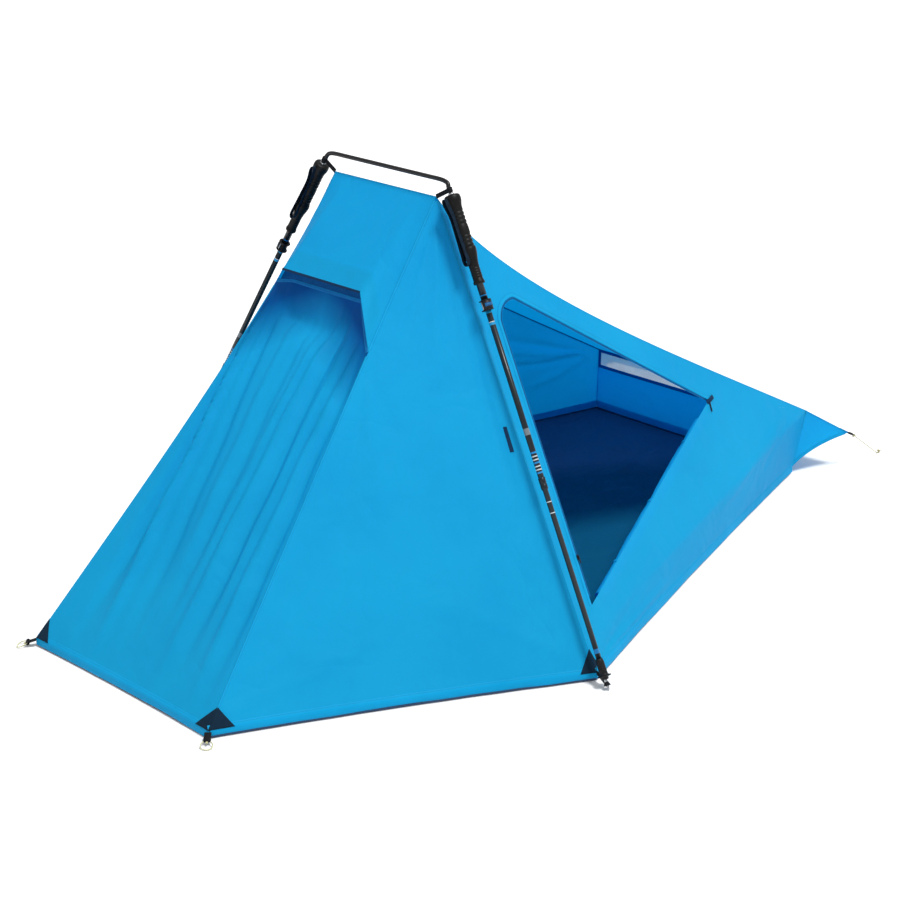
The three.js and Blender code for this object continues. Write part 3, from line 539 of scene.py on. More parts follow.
def coated(name, colour, worn, roughness, door_light_tint=None, door_light_edge=0.0):
    """Heavy coated nylon, as in the floor: matt to satin, with scuffs and soft creases."""
    shade = Shade(name)
    u, v = shade.uv()
    weave = shade.times(shade.wave(u, 0.0006), shade.wave(v, 0.0006))
    scuff = shade.noise(9.0, 6.0, 0.6)
    crinkle = shade.noise(22.0, 6.0, 0.6)
    base = shade.mix(shade.range(scuff, 0.42, 0.75, 0.0, 0.6), colour, worn)
    # painted light: a teal tint where light from the door falls on the floor, up to the given edge
    if door_light_tint:
        uneven = shade.plus(v, shade.times(u, 0.6))
        uneven = shade.plus(uneven, shade.times(shade.noise(2.2, 3.0), 0.3))
        base = shade.mix(shade.range(uneven, door_light_edge, door_light_edge + 0.16, 1.0, 0.0), base, door_light_tint)
    normal = shade.bump(shade.ridges(6.0, 1.2), 0.02, 0.5)
    normal = shade.bump(crinkle, 0.003, 0.5, normal)
    normal = shade.bump(weave, 0.00008, 0.4, normal)
    shade.set(Base_Color=base, Roughness=shade.range(scuff, 0.3, 0.7, roughness - 0.08, roughness + 0.1),
              Normal=normal, Specular_IOR_Level=0.05)
    return shade.material


def netting(name, thread, share):
    """Fine insect netting: hexagon-like holes that let the light through."""
    shade = Shade(name)
    u, v = shade.uv()
    pitch = 0.0011
    holes = shade.times(shade.wave(u, pitch), shade.wave(shade.plus(v, shade.times(u, 0.5)), pitch))
    soft = shade.noise(7.0, 4.0)
    base = shade.mix(shade.range(soft, 0.35, 0.65), thread, tuple(0.72 * c for c in thread[:3]) + (1.0,))
    alpha = shade.minus(1.0, shade.times(holes, share))
    normal = shade.bump(holes, 0.0001, 0.5)
    shade.set(Base_Color=base, Roughness=0.8, Normal=normal, Specular_IOR_Level=0.2)
    clear = shade.add("ShaderNodeBsdfTransparent")
    glow = shade.add("ShaderNodeBsdfTranslucent", Color=thread, Normal=normal)
    both = shade.add("ShaderNodeMixShader", n0=0.35, n1=shade.shader.outputs[0], n2=glow.outputs[0])
    cut = shade.add("ShaderNodeMixShader", n0=alpha, n1=clear.outputs[0], n2=both.outputs[0])
    shade.put(shade.output.inputs["Surface"], cut.outputs[0])
    return shade.material


def webbing(name, colour, light, rows=(), thread=None, share=0.0, roughness=0.75):
    """Woven tape: a herringbone along its length, with raised edges."""
    shade = Shade(name)
    u, v = shade.uv()
    slant = shade.plus(v, shade.unsigned(shade.minus(shade.math("FRACT", shade.times(u, 200.0)), 0.5)))
    ribs = shade.wave(shade.plus(v, shade.times(slant, 0.002)), 0.0011)
    threads = shade.wave(u, 0.0008)
    fuzz = shade.noise(120.0, 4.0)
    height = shade.plus(shade.times(ribs, 0.6), shade.times(threads, 0.5))
    base = shade.mix(shade.range(fuzz, 0.3, 0.8, 0.0, 0.8), colour, light)
    if rows:
        base = shade.mix(dashes(shade, v, u, rows), base, thread)
    normal = shade.bump(height, 0.00025, 0.8)
    shade.set(Base_Color=base, Roughness=roughness, Normal=normal, Sheen_Weight=0.08, Sheen_Tint=light,
              Specular_IOR_Level=0.12)
    if share:
        shade.translucent(light, share, normal)
    return shade.material


def moulded(name, colour, worn, roughness, grain=260.0, depth=0.00012):
    """Moulded plastic or rubber: fine grain, rubbed lighter on its edges and where hands hold it."""
    shade = Shade(name)
    fine = shade.noise(grain, 4.0)
    rub = shade.noise(38.0, 5.0, 0.65)
    edge = shade.range(shade.add("ShaderNodeNewGeometry").outputs["Pointiness"], 0.5, 0.58)
    wear = shade.times(shade.plus(edge, shade.range(rub, 0.55, 0.8, 0.0, 0.4)), 0.55)
    shade.set(Base_Color=shade.mix(wear, colour, worn), Normal=shade.bump(fine, depth, 0.6),
              Specular_IOR_Level=0.2,
              Roughness=shade.range(rub, 0.3, 0.7, roughness - 0.07, roughness + 0.09))
    return shade.material


def banded(name, colour, roughness, metal, bands):
    """A painted tube: rings printed by their place along it, as (low, high, colour), and fine scratches."""
    shade = Shade(name)
    _, along = shade.uv()
    scratch = shade.noise(90.0, 5.0, 0.6, (1.0, 1.0, 0.15))
    base = shade.mix(shade.range(scratch, 0.5, 0.8, 0.0, 0.35), colour,
                     tuple(2.2 * c + 0.01 for c in colour[:3]) + (1.0,))
    for low, high, paint in bands:
        on = shade.times(shade.math("GREATER_THAN", along, low), shade.math("LESS_THAN", along, high))
        base = shade.mix(on, base, paint)
    shade.set(Base_Color=base, Metallic=metal, Normal=shade.bump(scratch, 0.00004, 0.5),
              Roughness=shade.range(scratch, 0.3, 0.7, roughness - 0.06, roughness + 0.1), Coat_Weight=0.12,
              Coat_Roughness=0.15,
              Specular_IOR_Level=0.35)
    return shade.material


def metal(name, colour, roughness):
    """Turned steel: fine rings and scratches, a little staining."""
    shade = Shade(name)
    _, along = shade.uv()
    rings = shade.wave(along, 0.0004)
    stain = shade.noise(60.0, 5.0, 0.6)
    shade.set(Base_Color=shade.mix(shade.range(stain, 0.4, 0.75, 0.0, 0.6), colour, rgb(0.16, 0.15, 0.14)),
              Metallic=1.0,
              Normal=shade.bump(rings, 0.00003, 0.4), Roughness=shade.range(stain, 0.3, 0.7, roughness - 0.08,
                                                                            roughness + 0.15))
    return shade.material


def braided(name, colour, fleck):
    """Braided cord: crossing diagonals round and along it."""
    shade = Shade(name)
    u, v = shade.uv()
    one = shade.wave(shade.plus(shade.times(u, 1.0), v), 0.0011)
    two = shade.wave(shade.minus(v, u), 0.0011)
    plait = shade.highest(one, two)
    fuzz = shade.noise(200.0, 3.0)
    base = shade.mix(shade.range(fuzz, 0.4, 0.7, 0.0, 0.7), colour, fleck)
    shade.set(Base_Color=base, Roughness=0.75, Sheen_Weight=0.3, Normal=shade.bump(plait, 0.0002, 0.8))
    return shade.material


BLUE, BLUE_DEEP = rgb(0.010, 0.430, 0.760), rgb(0.008, 0.385, 0.710)
BLUE_GLOW = rgb(0.002, 0.37, 0.86)
SEAM_THREAD = rgb(0.006, 0.25, 0.46)
NAVY, NAVY_WORN = rgb(0.110, 0.105, 0.195), rgb(0.130, 0.135, 0.24)
# painted light: the teal of the light from the door on the floor
FLOOR_DOOR_LIGHT_TINT = rgb(0.003, 0.068, 0.130)
FLOOR_DOOR_LIGHT_EDGE = 0.78               # painted light: the floor is painted teal, as where light from the door falls, nearer the head and the door than this
# painted shade of the hood on the head wall, and its darker glow
HOOD_SHADOW_COLOUR, HOOD_SHADOW_GLOW = rgb(0.001, 0.090, 0.30), rgb(0.001, 0.080, 0.36)

canopy_cloth = ripstop("canopy_ripstop", BLUE, BLUE_DEEP, BLUE_GLOW, 0.38, 0.5)
# the head wall's cloth has the hood's shadow painted into its colour
head_cloth = ripstop("head_wall_ripstop", BLUE, BLUE_DEEP, BLUE_GLOW, 0.38, 0.5,
                     hood_shade=(0.82, 0.95, HOOD_SHADOW_COLOUR, HOOD_SHADOW_GLOW))
seam_cloth = ripstop("canopy_seam", BLUE, BLUE_DEEP, BLUE_GLOW, 0.30, 0.55,
                     rows=(-0.0026, 0.0026), thread=SEAM_THREAD)
hem_cloth = ripstop("canopy_hem", BLUE_DEEP, rgb(0.003, 0.33, 0.62), BLUE_GLOW, 0.24, 0.55,
                    rows=(0.0095,), thread=SEAM_THREAD)
inside_seam = webbing("inside_seam_tape", rgb(0.003, 0.12, 0.36), rgb(0.004, 0.17, 0.46),
                      rows=(-0.002, 0.002), thread=SEAM_THREAD)
floor_cloth = coated("floor_nylon", NAVY, NAVY_WORN, 0.45, FLOOR_DOOR_LIGHT_TINT, FLOOR_DOOR_LIGHT_EDGE)
tub_cloth = coated("tub_nylon", rgb(0.040, 0.075, 0.150), rgb(0.050, 0.095, 0.18), 0.5)
patch_cloth = coated("patch_nylon", rgb(0.005, 0.018, 0.036), rgb(0.009, 0.028, 0.052), 0.55)
window_net = netting("window_netting", rgb(0.98, 0.90, 0.80), 0.30)
vent_net = netting("vent_netting", rgb(0.002, 0.060, 0.21), 0.3)
black_web = webbing("black_webbing", rgb(0.005, 0.006, 0.008), rgb(0.014, 0.016, 0.020), rows=(-0.004, 0.004),
                    thread=rgb(0.05, 0.05, 0.055))
strap_web = webbing("strap_webbing", rgb(0.004, 0.010, 0.020), rgb(0.010, 0.030, 0.060), share=0.12)
zip_tape = webbing("zip_tape", rgb(0.003, 0.16, 0.42), rgb(0.004, 0.22, 0.52))
binding = webbing("edge_binding", rgb(0.003, 0.020, 0.060), rgb(0.005, 0.035, 0.09))
black_moulded = moulded("black_moulded", rgb(0.006, 0.006, 0.007), rgb(0.016, 0.016, 0.018), 0.42)
grip_rubber = moulded("grip_rubber", rgb(0.0022, 0.0024, 0.0028), rgb(0.007, 0.007, 0.008), 0.46, 420.0,
                      0.0002)
blue_moulded = moulded("blue_moulded", rgb(0.005, 0.07, 0.20), rgb(0.01, 0.12, 0.32), 0.35)
bar_alloy = banded("bar_alloy", rgb(0.006, 0.006, 0.008), 0.34, 0.2, ())
collar_steel = metal("collar_steel", rgb(0.55, 0.56, 0.58), 0.25)
tip_steel = metal("tip_steel", rgb(0.42, 0.43, 0.45), 0.3)
loop_cord = braided("loop_cord", rgb(0.62, 0.60, 0.33), rgb(0.20, 0.22, 0.14))
guy_cord = braided("guy_cord", rgb(0.44, 0.40, 0.20), rgb(0.22, 0.21, 0.11))
zip_teeth = moulded("zip_teeth", rgb(0.003, 0.085, 0.24), rgb(0.005, 0.12, 0.30), 0.5)

# ---- Camera ------------------------------------------------------------------------------
VIEW_TARGET = Vector((0.193, -0.1574, 0.400))
VIEW_AZIMUTH, VIEW_ELEVATION = math.radians(-46.17), math.radians(22.10)
VIEW_DISTANCE, LENS = 5.6425, 80.54

camera = bpy.data.objects.new("camera", bpy.data.cameras.new("camera"))
bpy.context.scene.collection.objects.link(camera)
camera.data.lens = LENS
camera.data.sensor_width = 36.0
camera.location = VIEW_TARGET + VIEW_DISTANCE * Vector((
    math.cos(VIEW_ELEVATION) * math.sin(VIEW_AZIMUTH), -math.cos(VIEW_ELEVATION) * math.cos(VIEW_AZIMUTH),
    math.sin(VIEW_ELEVATION)))
camera.rotation_euler = (VIEW_TARGET - camera.location).to_track_quat("-Z", "Y").to_euler()
bpy.context.scene.camera = camera

# ---- Guylines ----------------------------------------------------------------------------
RING_RADIUS, RING_WIRE = 0.009, 0.002
GUY_ROUTE = ((0, 0, 0), (0.014, 0.0005, -0.010), (0.034, 0.0012, -0.024), (0.060, 0.0021, -0.0425),
             (0.086, 0.003, -0.061), (0.110, 0.0039, -0.078), (0.130, 0.0046, -0.092), (0.141, 0.005, -0.100),
             (0.149, 0.0054, -0.1043), (0.157, 0.0057, -0.1052))


def knot(name, centre, along, size, material):
    """An overhand knot, as a short closed lump of three turns of the cord."""
    along = unit(np.asarray(along, float))
    side = unit(np.cross(along, (0, 0, 1)))
    up = np.cross(side, along)
    turns = np.linspace(0, 2 * math.pi, 48, endpoint=False)
    path = np.array([centre + along * (size * 0.42 * math.sin(3 * t))
                     + side * (size * 0.34 * (math.sin(t) + 0.8 * math.sin(2 * t)))
                     + up * (size * 0.30 * (math.cos(t) - 0.8 * math.cos(2 * t))) for t in turns])
    return sweep(name, path, circle(size * 0.24, 8), up, material, loop=True)


def guyline(name, s):
    out = unit(tail(s) - wall_top(s))
    start = tail(s) + out * (2 * (RING_RADIUS + RING_WIRE) + 3 * GAP)
    route = np.array([start + vec(x, s * y, z) for x, y, z in GUY_ROUTE])
    path = spline(route, 32)
    curve = bpy.data.curves.new(f"guyline_cord_{name}", "CURVE")
    curve.dimensions = "3D"
    run = curve.splines.new("POLY")
    run.points.add(len(path) - 1)
    for point, place in zip(run.points, path):
        point.co = (*place, 1.0)
    curve.bevel_depth = GUY_DIAMETER / 2
    curve.bevel_resolution = 3
    curve.use_fill_caps = True
    curve.materials.append(guy_cord)
    cord = bpy.data.objects.new(f"guyline_cord_{name}", curve)
    bpy.context.scene.collection.objects.link(cord)
    finished(cord, "tent", "guy_cord", f"guyline_{name}")
    end = path[-1] + vec(0.001, 0, 0.0042)
    lump = finished(knot(f"guyline_knot_{name}", end, path[-1] - path[-3], 0.008, guy_cord), "tent",
                    "guy_cord")
    hitch = finished(knot(f"guyline_hitch_{name}", path[0] + unit(path[1] - path[0]) * 0.004,
                          path[1] - path[0], 0.008, guy_cord), "tent", "guy_cord")


for side_name, side_sign in SIDES:
    guyline(side_name, side_sign)

# ---- Cloth panels ------------------------------------------------------------------------
HEART = vec(0.3, 0, 0.3)
FOOT_HEART = vec(FOOT_REACH + 0.223, 0, -0.3)


class Panel:
    """A cloth panel between four edges, as a grid of points with outward normals."""

    def __init__(self, top, bottom, left, right, us, vs, aim=HEART):
        t, b, l, r = top(us), bottom(us), left(vs), right(vs)
        u, v = us[None, :, None], vs[:, None, None]
        corners = (t[0] * (1 - u) + t[-1] * u) * (1 - v) + (b[0] * (1 - u) + b[-1] * u) * v
        self.us, self.vs, self.aim = us, vs, aim
        self.flat = t[None] * (1 - v) + b[None] * v + l[:, None] * (1 - u) + r[:, None] * u - corners
        self.grid = self.flat.copy()
        self.find_normals()

    def find_normals(self):
        down, across = np.gradient(self.grid, axis=0), np.gradient(self.grid, axis=1)
        self.normals = unit(np.cross(across, down))
        middle = self.grid.reshape(-1, 3).mean(0)
        if (self.normals.reshape(-1, 3).mean(0) @ (middle - self.aim)) < 0:
            self.normals = -self.normals

    def at(self, u, v, lift=0.0):
        """The cloth's own point at shares across and down, lifted off its surface."""
        c = np.interp(u, self.us, np.arange(len(self.us)))
        r = np.interp(v, self.vs, np.arange(len(self.vs)))
        c0, r0 = min(int(c), len(self.us) - 2), min(int(r), len(self.vs) - 2)
        fc, fr = c - c0, r - r0

        def blend(a):
            return ((a[r0, c0] * (1 - fc) + a[r0, c0 + 1] * fc) * (1 - fr)
                    + (a[r0 + 1, c0] * (1 - fc) + a[r0 + 1, c0 + 1] * fc) * fr)
        return blend(self.grid) + unit(blend(self.normals)) * lift

    def edge(self, which):
        """An edge's points, the direction into the cloth from it, and its normals."""
        grid, normals = self.grid, self.normals
        if which in ("left", "right"):
            grid, normals = grid.transpose(1, 0, 2), normals.transpose(1, 0, 2)
        first, second = (0, 1) if which in ("top", "left") else (-1, -2)
        points = grid[first]
        tangents = unit(np.gradient(points, axis=0))
        inward = grid[second] - points
        inward = unit(inward - tangents * (inward * tangents).sum(1, keepdims=True))
        return points, inward, normals[first]

    def area(self):
        return quad_area(self.flat)


def quad_area(grid):
    a, b = grid[:-1, :-1] - grid[1:, 1:], grid[:-1, 1:] - grid[1:, :-1]
    return float(np.linalg.norm(np.cross(a, b), axis=-1).sum() / 2)


def distance_to(points, curve):
    """Each point's distance to a polyline, and how far along the line its nearest place is."""
    best, place = np.full(len(points), 1e9), np.zeros(len(points))
    starts = along_lengths(curve)
    for a, b, start in zip(curve[:-1], curve[1:], starts):
        run = b - a
        t = np.clip(((points - a) @ run) / max(run @ run, 1e-12), 0, 1)
        away = np.linalg.norm(points - (a + t[:, None] * run), axis=1)
        place = np.where(away < best, start + t * np.linalg.norm(run), place)
        best = np.minimum(best, away)
    return best, place


def noise_at(points, scale, shift):
    return np.array([noise.noise(Vector(p * scale) + Vector(shift)) for p in points])


def gathers_by(points, rims, seed, pucker):
    """Small waves beside the rims, from the pull of their stitching, and the distance to the nearest rim."""
    reach, gathers = np.full(len(points), 1e9), np.zeros(len(points))
    for k, rim in enumerate(rims):
        away, place = distance_to(points, rim)
        reach = np.minimum(reach, away)
        close = np.flatnonzero(away < GATHER_REACH)
        wave = np.array([noise.noise(Vector((p * GATHERS_PER_M, seed + 7 * k, 0))) for p in place[close]])
        fall = np.clip(away[close] / GATHER_START, 0, 1) * np.exp(-away[close] / GATHER_FADE)
        gathers[close] += pucker * wave * fall
    return reach, gathers


def crease_height(points, normals, crease, seed):
    """A crease's height at each point: a wandering ridge that fades at its ends."""
    start, end, lift, width = crease
    run = end - start
    t = np.clip(((points - start) @ run) / (run @ run), 0, 1)
    wander = np.array([noise.noise(Vector((v * 5, seed, width * 90))) for v in t]) * CREASE_WANDER
    away = points - (start + t[:, None] * run)
    across = unit(np.cross(normals, unit(run)))
    off = (away * across).sum(1) + wander * np.sin(np.pi * t)
    broad = width * (0.45 + 0.9 * t)
    ends = np.clip(np.minimum(t / 0.12, (1 - t) / 0.3), 0, 1)
    beyond = np.clip(1 - np.abs((away * unit(run)).sum(1)) / 0.03, 0, 1)
    return lift * np.exp(-(off / broad) ** 2) * ends * beyond


def settle(panels, rims, creases=(), ripple=0.0012, scale=3.2, seed=1.0, clear=0.05, sag=0.0, pucker=0.0011):
    """Moves the cloth off its flat shape: creases, a slight sag and soft ripples, none at the rims."""
    for panel in panels:
        points = panel.flat.reshape(-1, 3)
        normals = panel.normals.reshape(-1, 3)
        reach, gathers = gathers_by(points, rims, seed, pucker)
        near = np.clip(reach / clear, 0, 1)
        near = near * near * (3 - 2 * near)
        height = noise_at(points, scale, (seed, 0, 0)) * ripple
        height += noise_at(points, scale * 3.1, (0, seed, 0)) * ripple * 0.35
        height -= sag * np.clip(reach / 0.3, 0, 1) ** 1.2
        for crease in creases:
            height += crease_height(points, normals, crease, seed)
        panel.grid = (points + normals * (height * near + gathers)[:, None]).reshape(panel.flat.shape)
        panel.find_normals()


def crease(panel, start, end, lift, width):
    """A crease between two places on a panel, each as shares across and down."""
    return panel.at(*start), panel.at(*end), lift, width


def fan(panel, corner, targets, lift, width, seed):
    """Creases that spread from a place that is pulled, a little uneven in place and height."""
    dice = random.Random(seed)
    corner = panel.at(*corner)
    made = []
    for k, target in enumerate(targets):
        end = corner + (panel.at(*target) - corner) * dice.uniform(0.7, 1.0)
        height = lift * dice.uniform(0.6, 1.2) * (1 if k % 2 else -0.7)
        made.append((corner, end, height, width * dice.uniform(0.8, 1.25)))
    return made


def smallest_rectangle(points):
    """The sides of the smallest rectangle that holds flat points."""
    best = None
    for turn in np.linspace(0, math.pi / 2, 90, endpoint=False):
        across = np.array((math.cos(turn), math.sin(turn)))
        size = np.ptp(points @ np.column_stack((across, (-across[1], across[0]))), axis=0)
        if best is None or size.prod() < best.prod():
            best = size
    return best


def flat_uvs(points):
    """Points on their own best plane, in metres."""
    middle = points.mean(0)
    _, _, axes = np.linalg.svd(points - middle, full_matrices=False)
    return (points - middle) @ axes[:2].T


def panel_faces(panel, first):
    """A panel's faces, turned to face outwards."""
    rows, columns = panel.grid.shape[:2]
    made = grid_faces(rows, columns, first=first)
    sample = made[len(made) // 2 + columns // 2]
    a, b, c = (panel.grid.reshape(-1, 3)[i - first] for i in sample[:3])
    outward = panel.normals[rows // 2, columns // 2]
    if np.cross(b - a, c - b) @ outward < 0:
        made = [f[::-1] for f in made]
    return made


def cloth_piece(name, panels, nodes, material=canopy_cloth, slot="canopy_fabric"):
    """One sheet from one or more panels, welded where they meet, with UVs in metres on its own plane."""
    points = np.vstack([p.grid.reshape(-1, 3) for p in panels])
    uvs = flat_uvs(np.vstack([p.flat.reshape(-1, 3) for p in panels]))
    faces, first = [], 0
    for p in panels:
        faces += panel_faces(p, first)
        first += p.grid.shape[0] * p.grid.shape[1]
    keys, keep, index = {}, [], []
    for i, p in enumerate(points):
        key = tuple(np.round(p / WELD).astype(int))
        if key not in keys:
            keys[key] = len(keep)
            keep.append(i)
        index.append(keys[key])
    faces = [[index[i] for i in f] for f in faces]
    faces = [[i for k, i in enumerate(f) if i != f[k - 1]] for f in faces]
    piece = mesh_piece(name, points[keep], [f for f in faces if len(f) > 2], uvs[keep], material)
    finished(piece, "tent", slot, *nodes)
    smallest_rectangle(uvs)
    sum(p.area() for p in panels)
    return piece


def seam_ribbon(name, edge_a, edge_b, width=SEAM_WIDTH, height=SEAM_HEIGHT, material=seam_cloth,
                slot="canopy_fabric", inside=False):
    """A felled seam that lies on both panels and folds with them."""
    count = max(int(along_lengths(edge_a[0])[-1] / RIBBON_STEP), 6)
    centre, in_a, n_a = resample(edge_a[0], count, *edge_a[1:])
    _, in_b, n_b = resample(edge_b[0], count, *edge_b[1:])
    if inside:
        n_a, n_b = -n_a, -n_b
    half = width / 2

    def flank(inward, normal):
        return [centre + inward * half + normal * SKIN, centre + inward * half * 0.93 + normal * height,
                centre + inward * half * 0.3 + normal * height * 1.1]

    rows = flank(in_a, n_a) + [centre + unit(n_a + n_b) * height * 1.5] + flank(in_b, n_b)[::-1]
    across = np.array([-1, -0.93, -0.3, 0, 0.3, 0.93, 1]) * half
    points = np.stack(rows, 1).reshape(-1, 3)
    uvs = grid_uvs(across, along_lengths(centre))
    piece = mesh_piece(name, points, grid_faces(len(centre), len(rows)), uvs, material)
    return finished(piece, "tent", slot)


def hem_ribbon(name, edge, width=HEM_WIDTH, height=HEM_THICK, material=hem_cloth, slot="canopy_fabric",
               low=None, seed=0.0):
    """A folded hem that wraps a free edge; with low, it hangs on down to that height over the tub wall."""
    count = max(int(along_lengths(edge[0])[-1] / RIBBON_STEP), 6)
    centre, inward, normal = resample(edge[0], count, *edge[1:])
    lengths = along_lengths(centre)
    rows = [centre + inward * width + normal * SKIN, centre + inward * width * 0.95 + normal * height,
            centre + inward * HEM_FOLD + normal * height]
    across = [width, width * 0.95, HEM_FOLD]
    if low is None:
        edge_line = centre - inward * HEM_OVER
        rows += [edge_line + normal * height * 0.4, edge_line - normal * height * 0.4]
        across += [-HEM_OVER, -HEM_OVER - height]
    else:
        out = unit(normal * (1, 1, 0))
        level = np.array([low + 0.003 * noise.noise(Vector((length * 5, seed, 0))) for length in lengths])
        sway = np.array([0.0012 * noise.noise(Vector((length * 14, seed, 4))) for length in lengths])
        for share, bulge in SKIRT:
            row = centre + out * (bulge + sway * share)[:, None]
            row[:, 2] = centre[:, 2] + (level - centre[:, 2]) * share
            rows.append(row)
            across.append(-share * 0.018 if bulge > 0.0003 else -0.02 - (1 - share) * 0.018)
    rows += [centre + inward * HEM_FOLD - normal * height, centre + inward * width * 0.95 - normal * height,
             centre + inward * width - normal * SKIN]
    across += [-width, -width * 1.4, -width * 1.45]
    points = np.stack(rows, 1).reshape(-1, 3)
    piece = mesh_piece(name, points, grid_faces(len(centre), len(rows)), grid_uvs(across, lengths), material)
    return finished(piece, "tent", slot)


def rims_of(panel):
    return [panel.flat[0], panel.flat[-1], panel.flat[:, 0], panel.flat[:, -1]]


def pitched(name, panel, nodes, creases, ripple, scale, seed, clear, sag=0.0, **kind):
    """Settles one panel by itself and makes its cloth."""
    settle([panel], rims_of(panel), creases, ripple, scale, seed, clear, sag)
    return cloth_piece(name, [panel], nodes, **kind)


def polyline(points):
    """An edge through the given points."""
    points = np.array(points)
    knots = along_lengths(points)
    return lambda t: np.stack([np.interp(t, knots / knots[-1], points[:, k]) for k in range(3)], 1)


# Head wall, hood and vent
def hood_corner(s):
    return head_wall_point(s * HOOD_HALF, HOOD_HEIGHT) + vec(-HOOD_PROUD, 0, 0)


hood_ends = {s: on_front_seam(s, HOOD_SIDE[s]) for s in (LEFT, RIGHT)}
hood_top = broken([peak(LEFT), peak(LEFT) + (peak(RIGHT) - peak(LEFT)) * 0.12,
                   peak(LEFT) + (peak(RIGHT) - peak(LEFT)) * 0.88, peak(RIGHT)], [1, 6, 1])
hood_low = broken([hood_ends[LEFT], hood_corner(LEFT), hood_corner(RIGHT), hood_ends[RIGHT]], [1, 6, 1])
hood_us = np.concatenate((np.linspace(0, 1 / 8, 6, endpoint=False),
                          np.linspace(1 / 8, 7 / 8, 26, endpoint=False), np.linspace(7 / 8, 1, 7)))
hood = Panel(hood_top, hood_low, front_seam(LEFT, 0, HOOD_SIDE[LEFT]), front_seam(RIGHT, 0, HOOD_SIDE[RIGHT]),
             hood_us, shares(22))
pitched("hood_cloth", hood, ["vent_hood"],
        fan(hood, (0.98, 0.98), ((0.7, 0.5), (0.85, 0.2), (0.5, 0.75)), 0.0022, 0.012, 3)
        + fan(hood, (0.02, 0.98), ((0.3, 0.5), (0.15, 0.2)), 0.002, 0.012, 4),
        0.0012, 4.0, 2.0, 0.03)

head_top = broken([hood_ends[LEFT], head_wall_point(LEFT * SILL_HALF, SILL_HEIGHT),
                   head_wall_point(RIGHT * SILL_HALF, SILL_HEIGHT), hood_ends[RIGHT]], [1, 4, 1])
head_us = np.concatenate((np.linspace(0, 1 / 6, 9, endpoint=False),
                          np.linspace(1 / 6, 5 / 6, 36, endpoint=False), np.linspace(5 / 6, 1, 10)))
head = Panel(head_top, head_hem(), front_seam(LEFT, HOOD_SIDE[LEFT]), front_seam(RIGHT, HOOD_SIDE[RIGHT]),
             head_us, shares(64))
# The hollow under the hood, and the folds that run down from the sill to the hem
HEAD_FOLDS = (
    ((0.16, 0.07), (0.86, 0.07), -0.026, 0.055),
    ((0.04, 0.02), (0.30, 0.98), 0.024, 0.013),
    ((0.03, 0.05), (0.20, 0.98), -0.018, 0.016),
    ((0.14, 0.01), (0.44, 0.95), -0.013, 0.018),
    ((0.34, 0.04), (0.50, 0.80), 0.009, 0.012),
    ((0.46, 0.04), (0.56, 0.86), -0.009, 0.012),
    ((0.58, 0.04), (0.60, 0.90), 0.010, 0.011),
    ((0.68, 0.01), (0.66, 0.96), 0.019, 0.012),
    ((0.76, 0.01), (0.74, 0.94), -0.016, 0.014),
    ((0.84, 0.03), (0.80, 0.90), 0.010, 0.011),
    ((0.93, 0.005), (0.86, 0.97), 0.022, 0.011),
    ((0.97, 0.02), (0.93, 0.98), -0.015, 0.012),
)
pitched("head_wall_cloth", head, ["head_panel"], [crease(head, *fold) for fold in HEAD_FOLDS],
        0.004, 3.4, 5.0, 0.03, 0.004, material=head_cloth)

# The vent's netting closes the gap between the hood and the sill
net_us = np.linspace(0.03, 0.97, 33)
hood_shares = np.interp(net_us, (0, 1 / 6, 5 / 6, 1), (0, 1 / 8, 7 / 8, 1))
vent_high = polyline([hood.at(u, 0.80, -0.004) for u in hood_shares])
vent_low = polyline([head.at(u, 0.004, -0.001) for u in net_us])
vent_ends = [line(vent_high(np.array([t]))[0], vent_low(np.array([t]))[0]) for t in (0.0, 1.0)]
vent = Panel(vent_high, vent_low, *vent_ends, shares(48), shares(10))
pitched("vent_net", vent, ["vent_mesh"], (), 0.003, 9.0, 8.0, 0.02, material=vent_net, slot="netting")

# The brim stiffens the hood's free edge
brim_points, brim_in, _ = hood.edge("bottom")
brim_from, brim_to = (int(np.searchsorted(hood_us, share)) for share in (1 / 8, 7 / 8))
brim_path = (brim_points - brim_in * 0.0006)[brim_from:brim_to + 1]
brim_section = [(0.0016 * a, 0.0034 * b) for a, b in circle(1.0)]
brim = sweep("hood_brim_binding", resample(brim_path, 40), brim_section, brim_in[len(brim_in) // 2], binding)
finished(brim, "tent", "black_plastic", "hood_brim")


# Front walls
def front_panel(s):
    trim = PEAK_TRIM / np.linalg.norm(peak(s) - head_corner(s))
    run = pole_corner(s) - peak(s)
    at_pole = peak(s) + run * PEAK_TRIM / np.linalg.norm(run)
    return Panel(line(on_front_seam(s, trim), at_pole), front_hem(s), front_seam(s, trim),
                 line(at_pole, pole_corner(s)), shares(58), shares(78))


front = {s: front_panel(s) for _, s in SIDES}
for (side_name, s), seed in zip(SIDES, (11, 12)):
    f = front[s]
    creases = fan(f, (0.02, 0.33), ((0.25, 0.8), (0.4, 0.7), (0.5, 0.55)), 0.0045, 0.018, seed)
    creases += fan(f, (0.02, 0.98), ((0.3, 0.6), (0.5, 0.85), (0.15, 0.5)), 0.0050, 0.015, seed + 20)
    creases += fan(f, (0.98, 0.98), ((0.7, 0.6), (0.55, 0.8), (0.85, 0.4)), 0.0050, 0.015, seed + 40)
    creases += fan(f, (0.5, 0.02), ((0.3, 0.4), (0.6, 0.45), (0.8, 0.5)), 0.0040, 0.016, seed + 60)
    creases += [crease(f, (0.95, 0.06), (0.90, 0.75), -0.008, 0.022)]
    pitched(f"front_wall_cloth_{side_name}", f, [f"front_panel_{side_name}"], creases,
            0.0042, 2.6, seed, 0.045, 0.003)

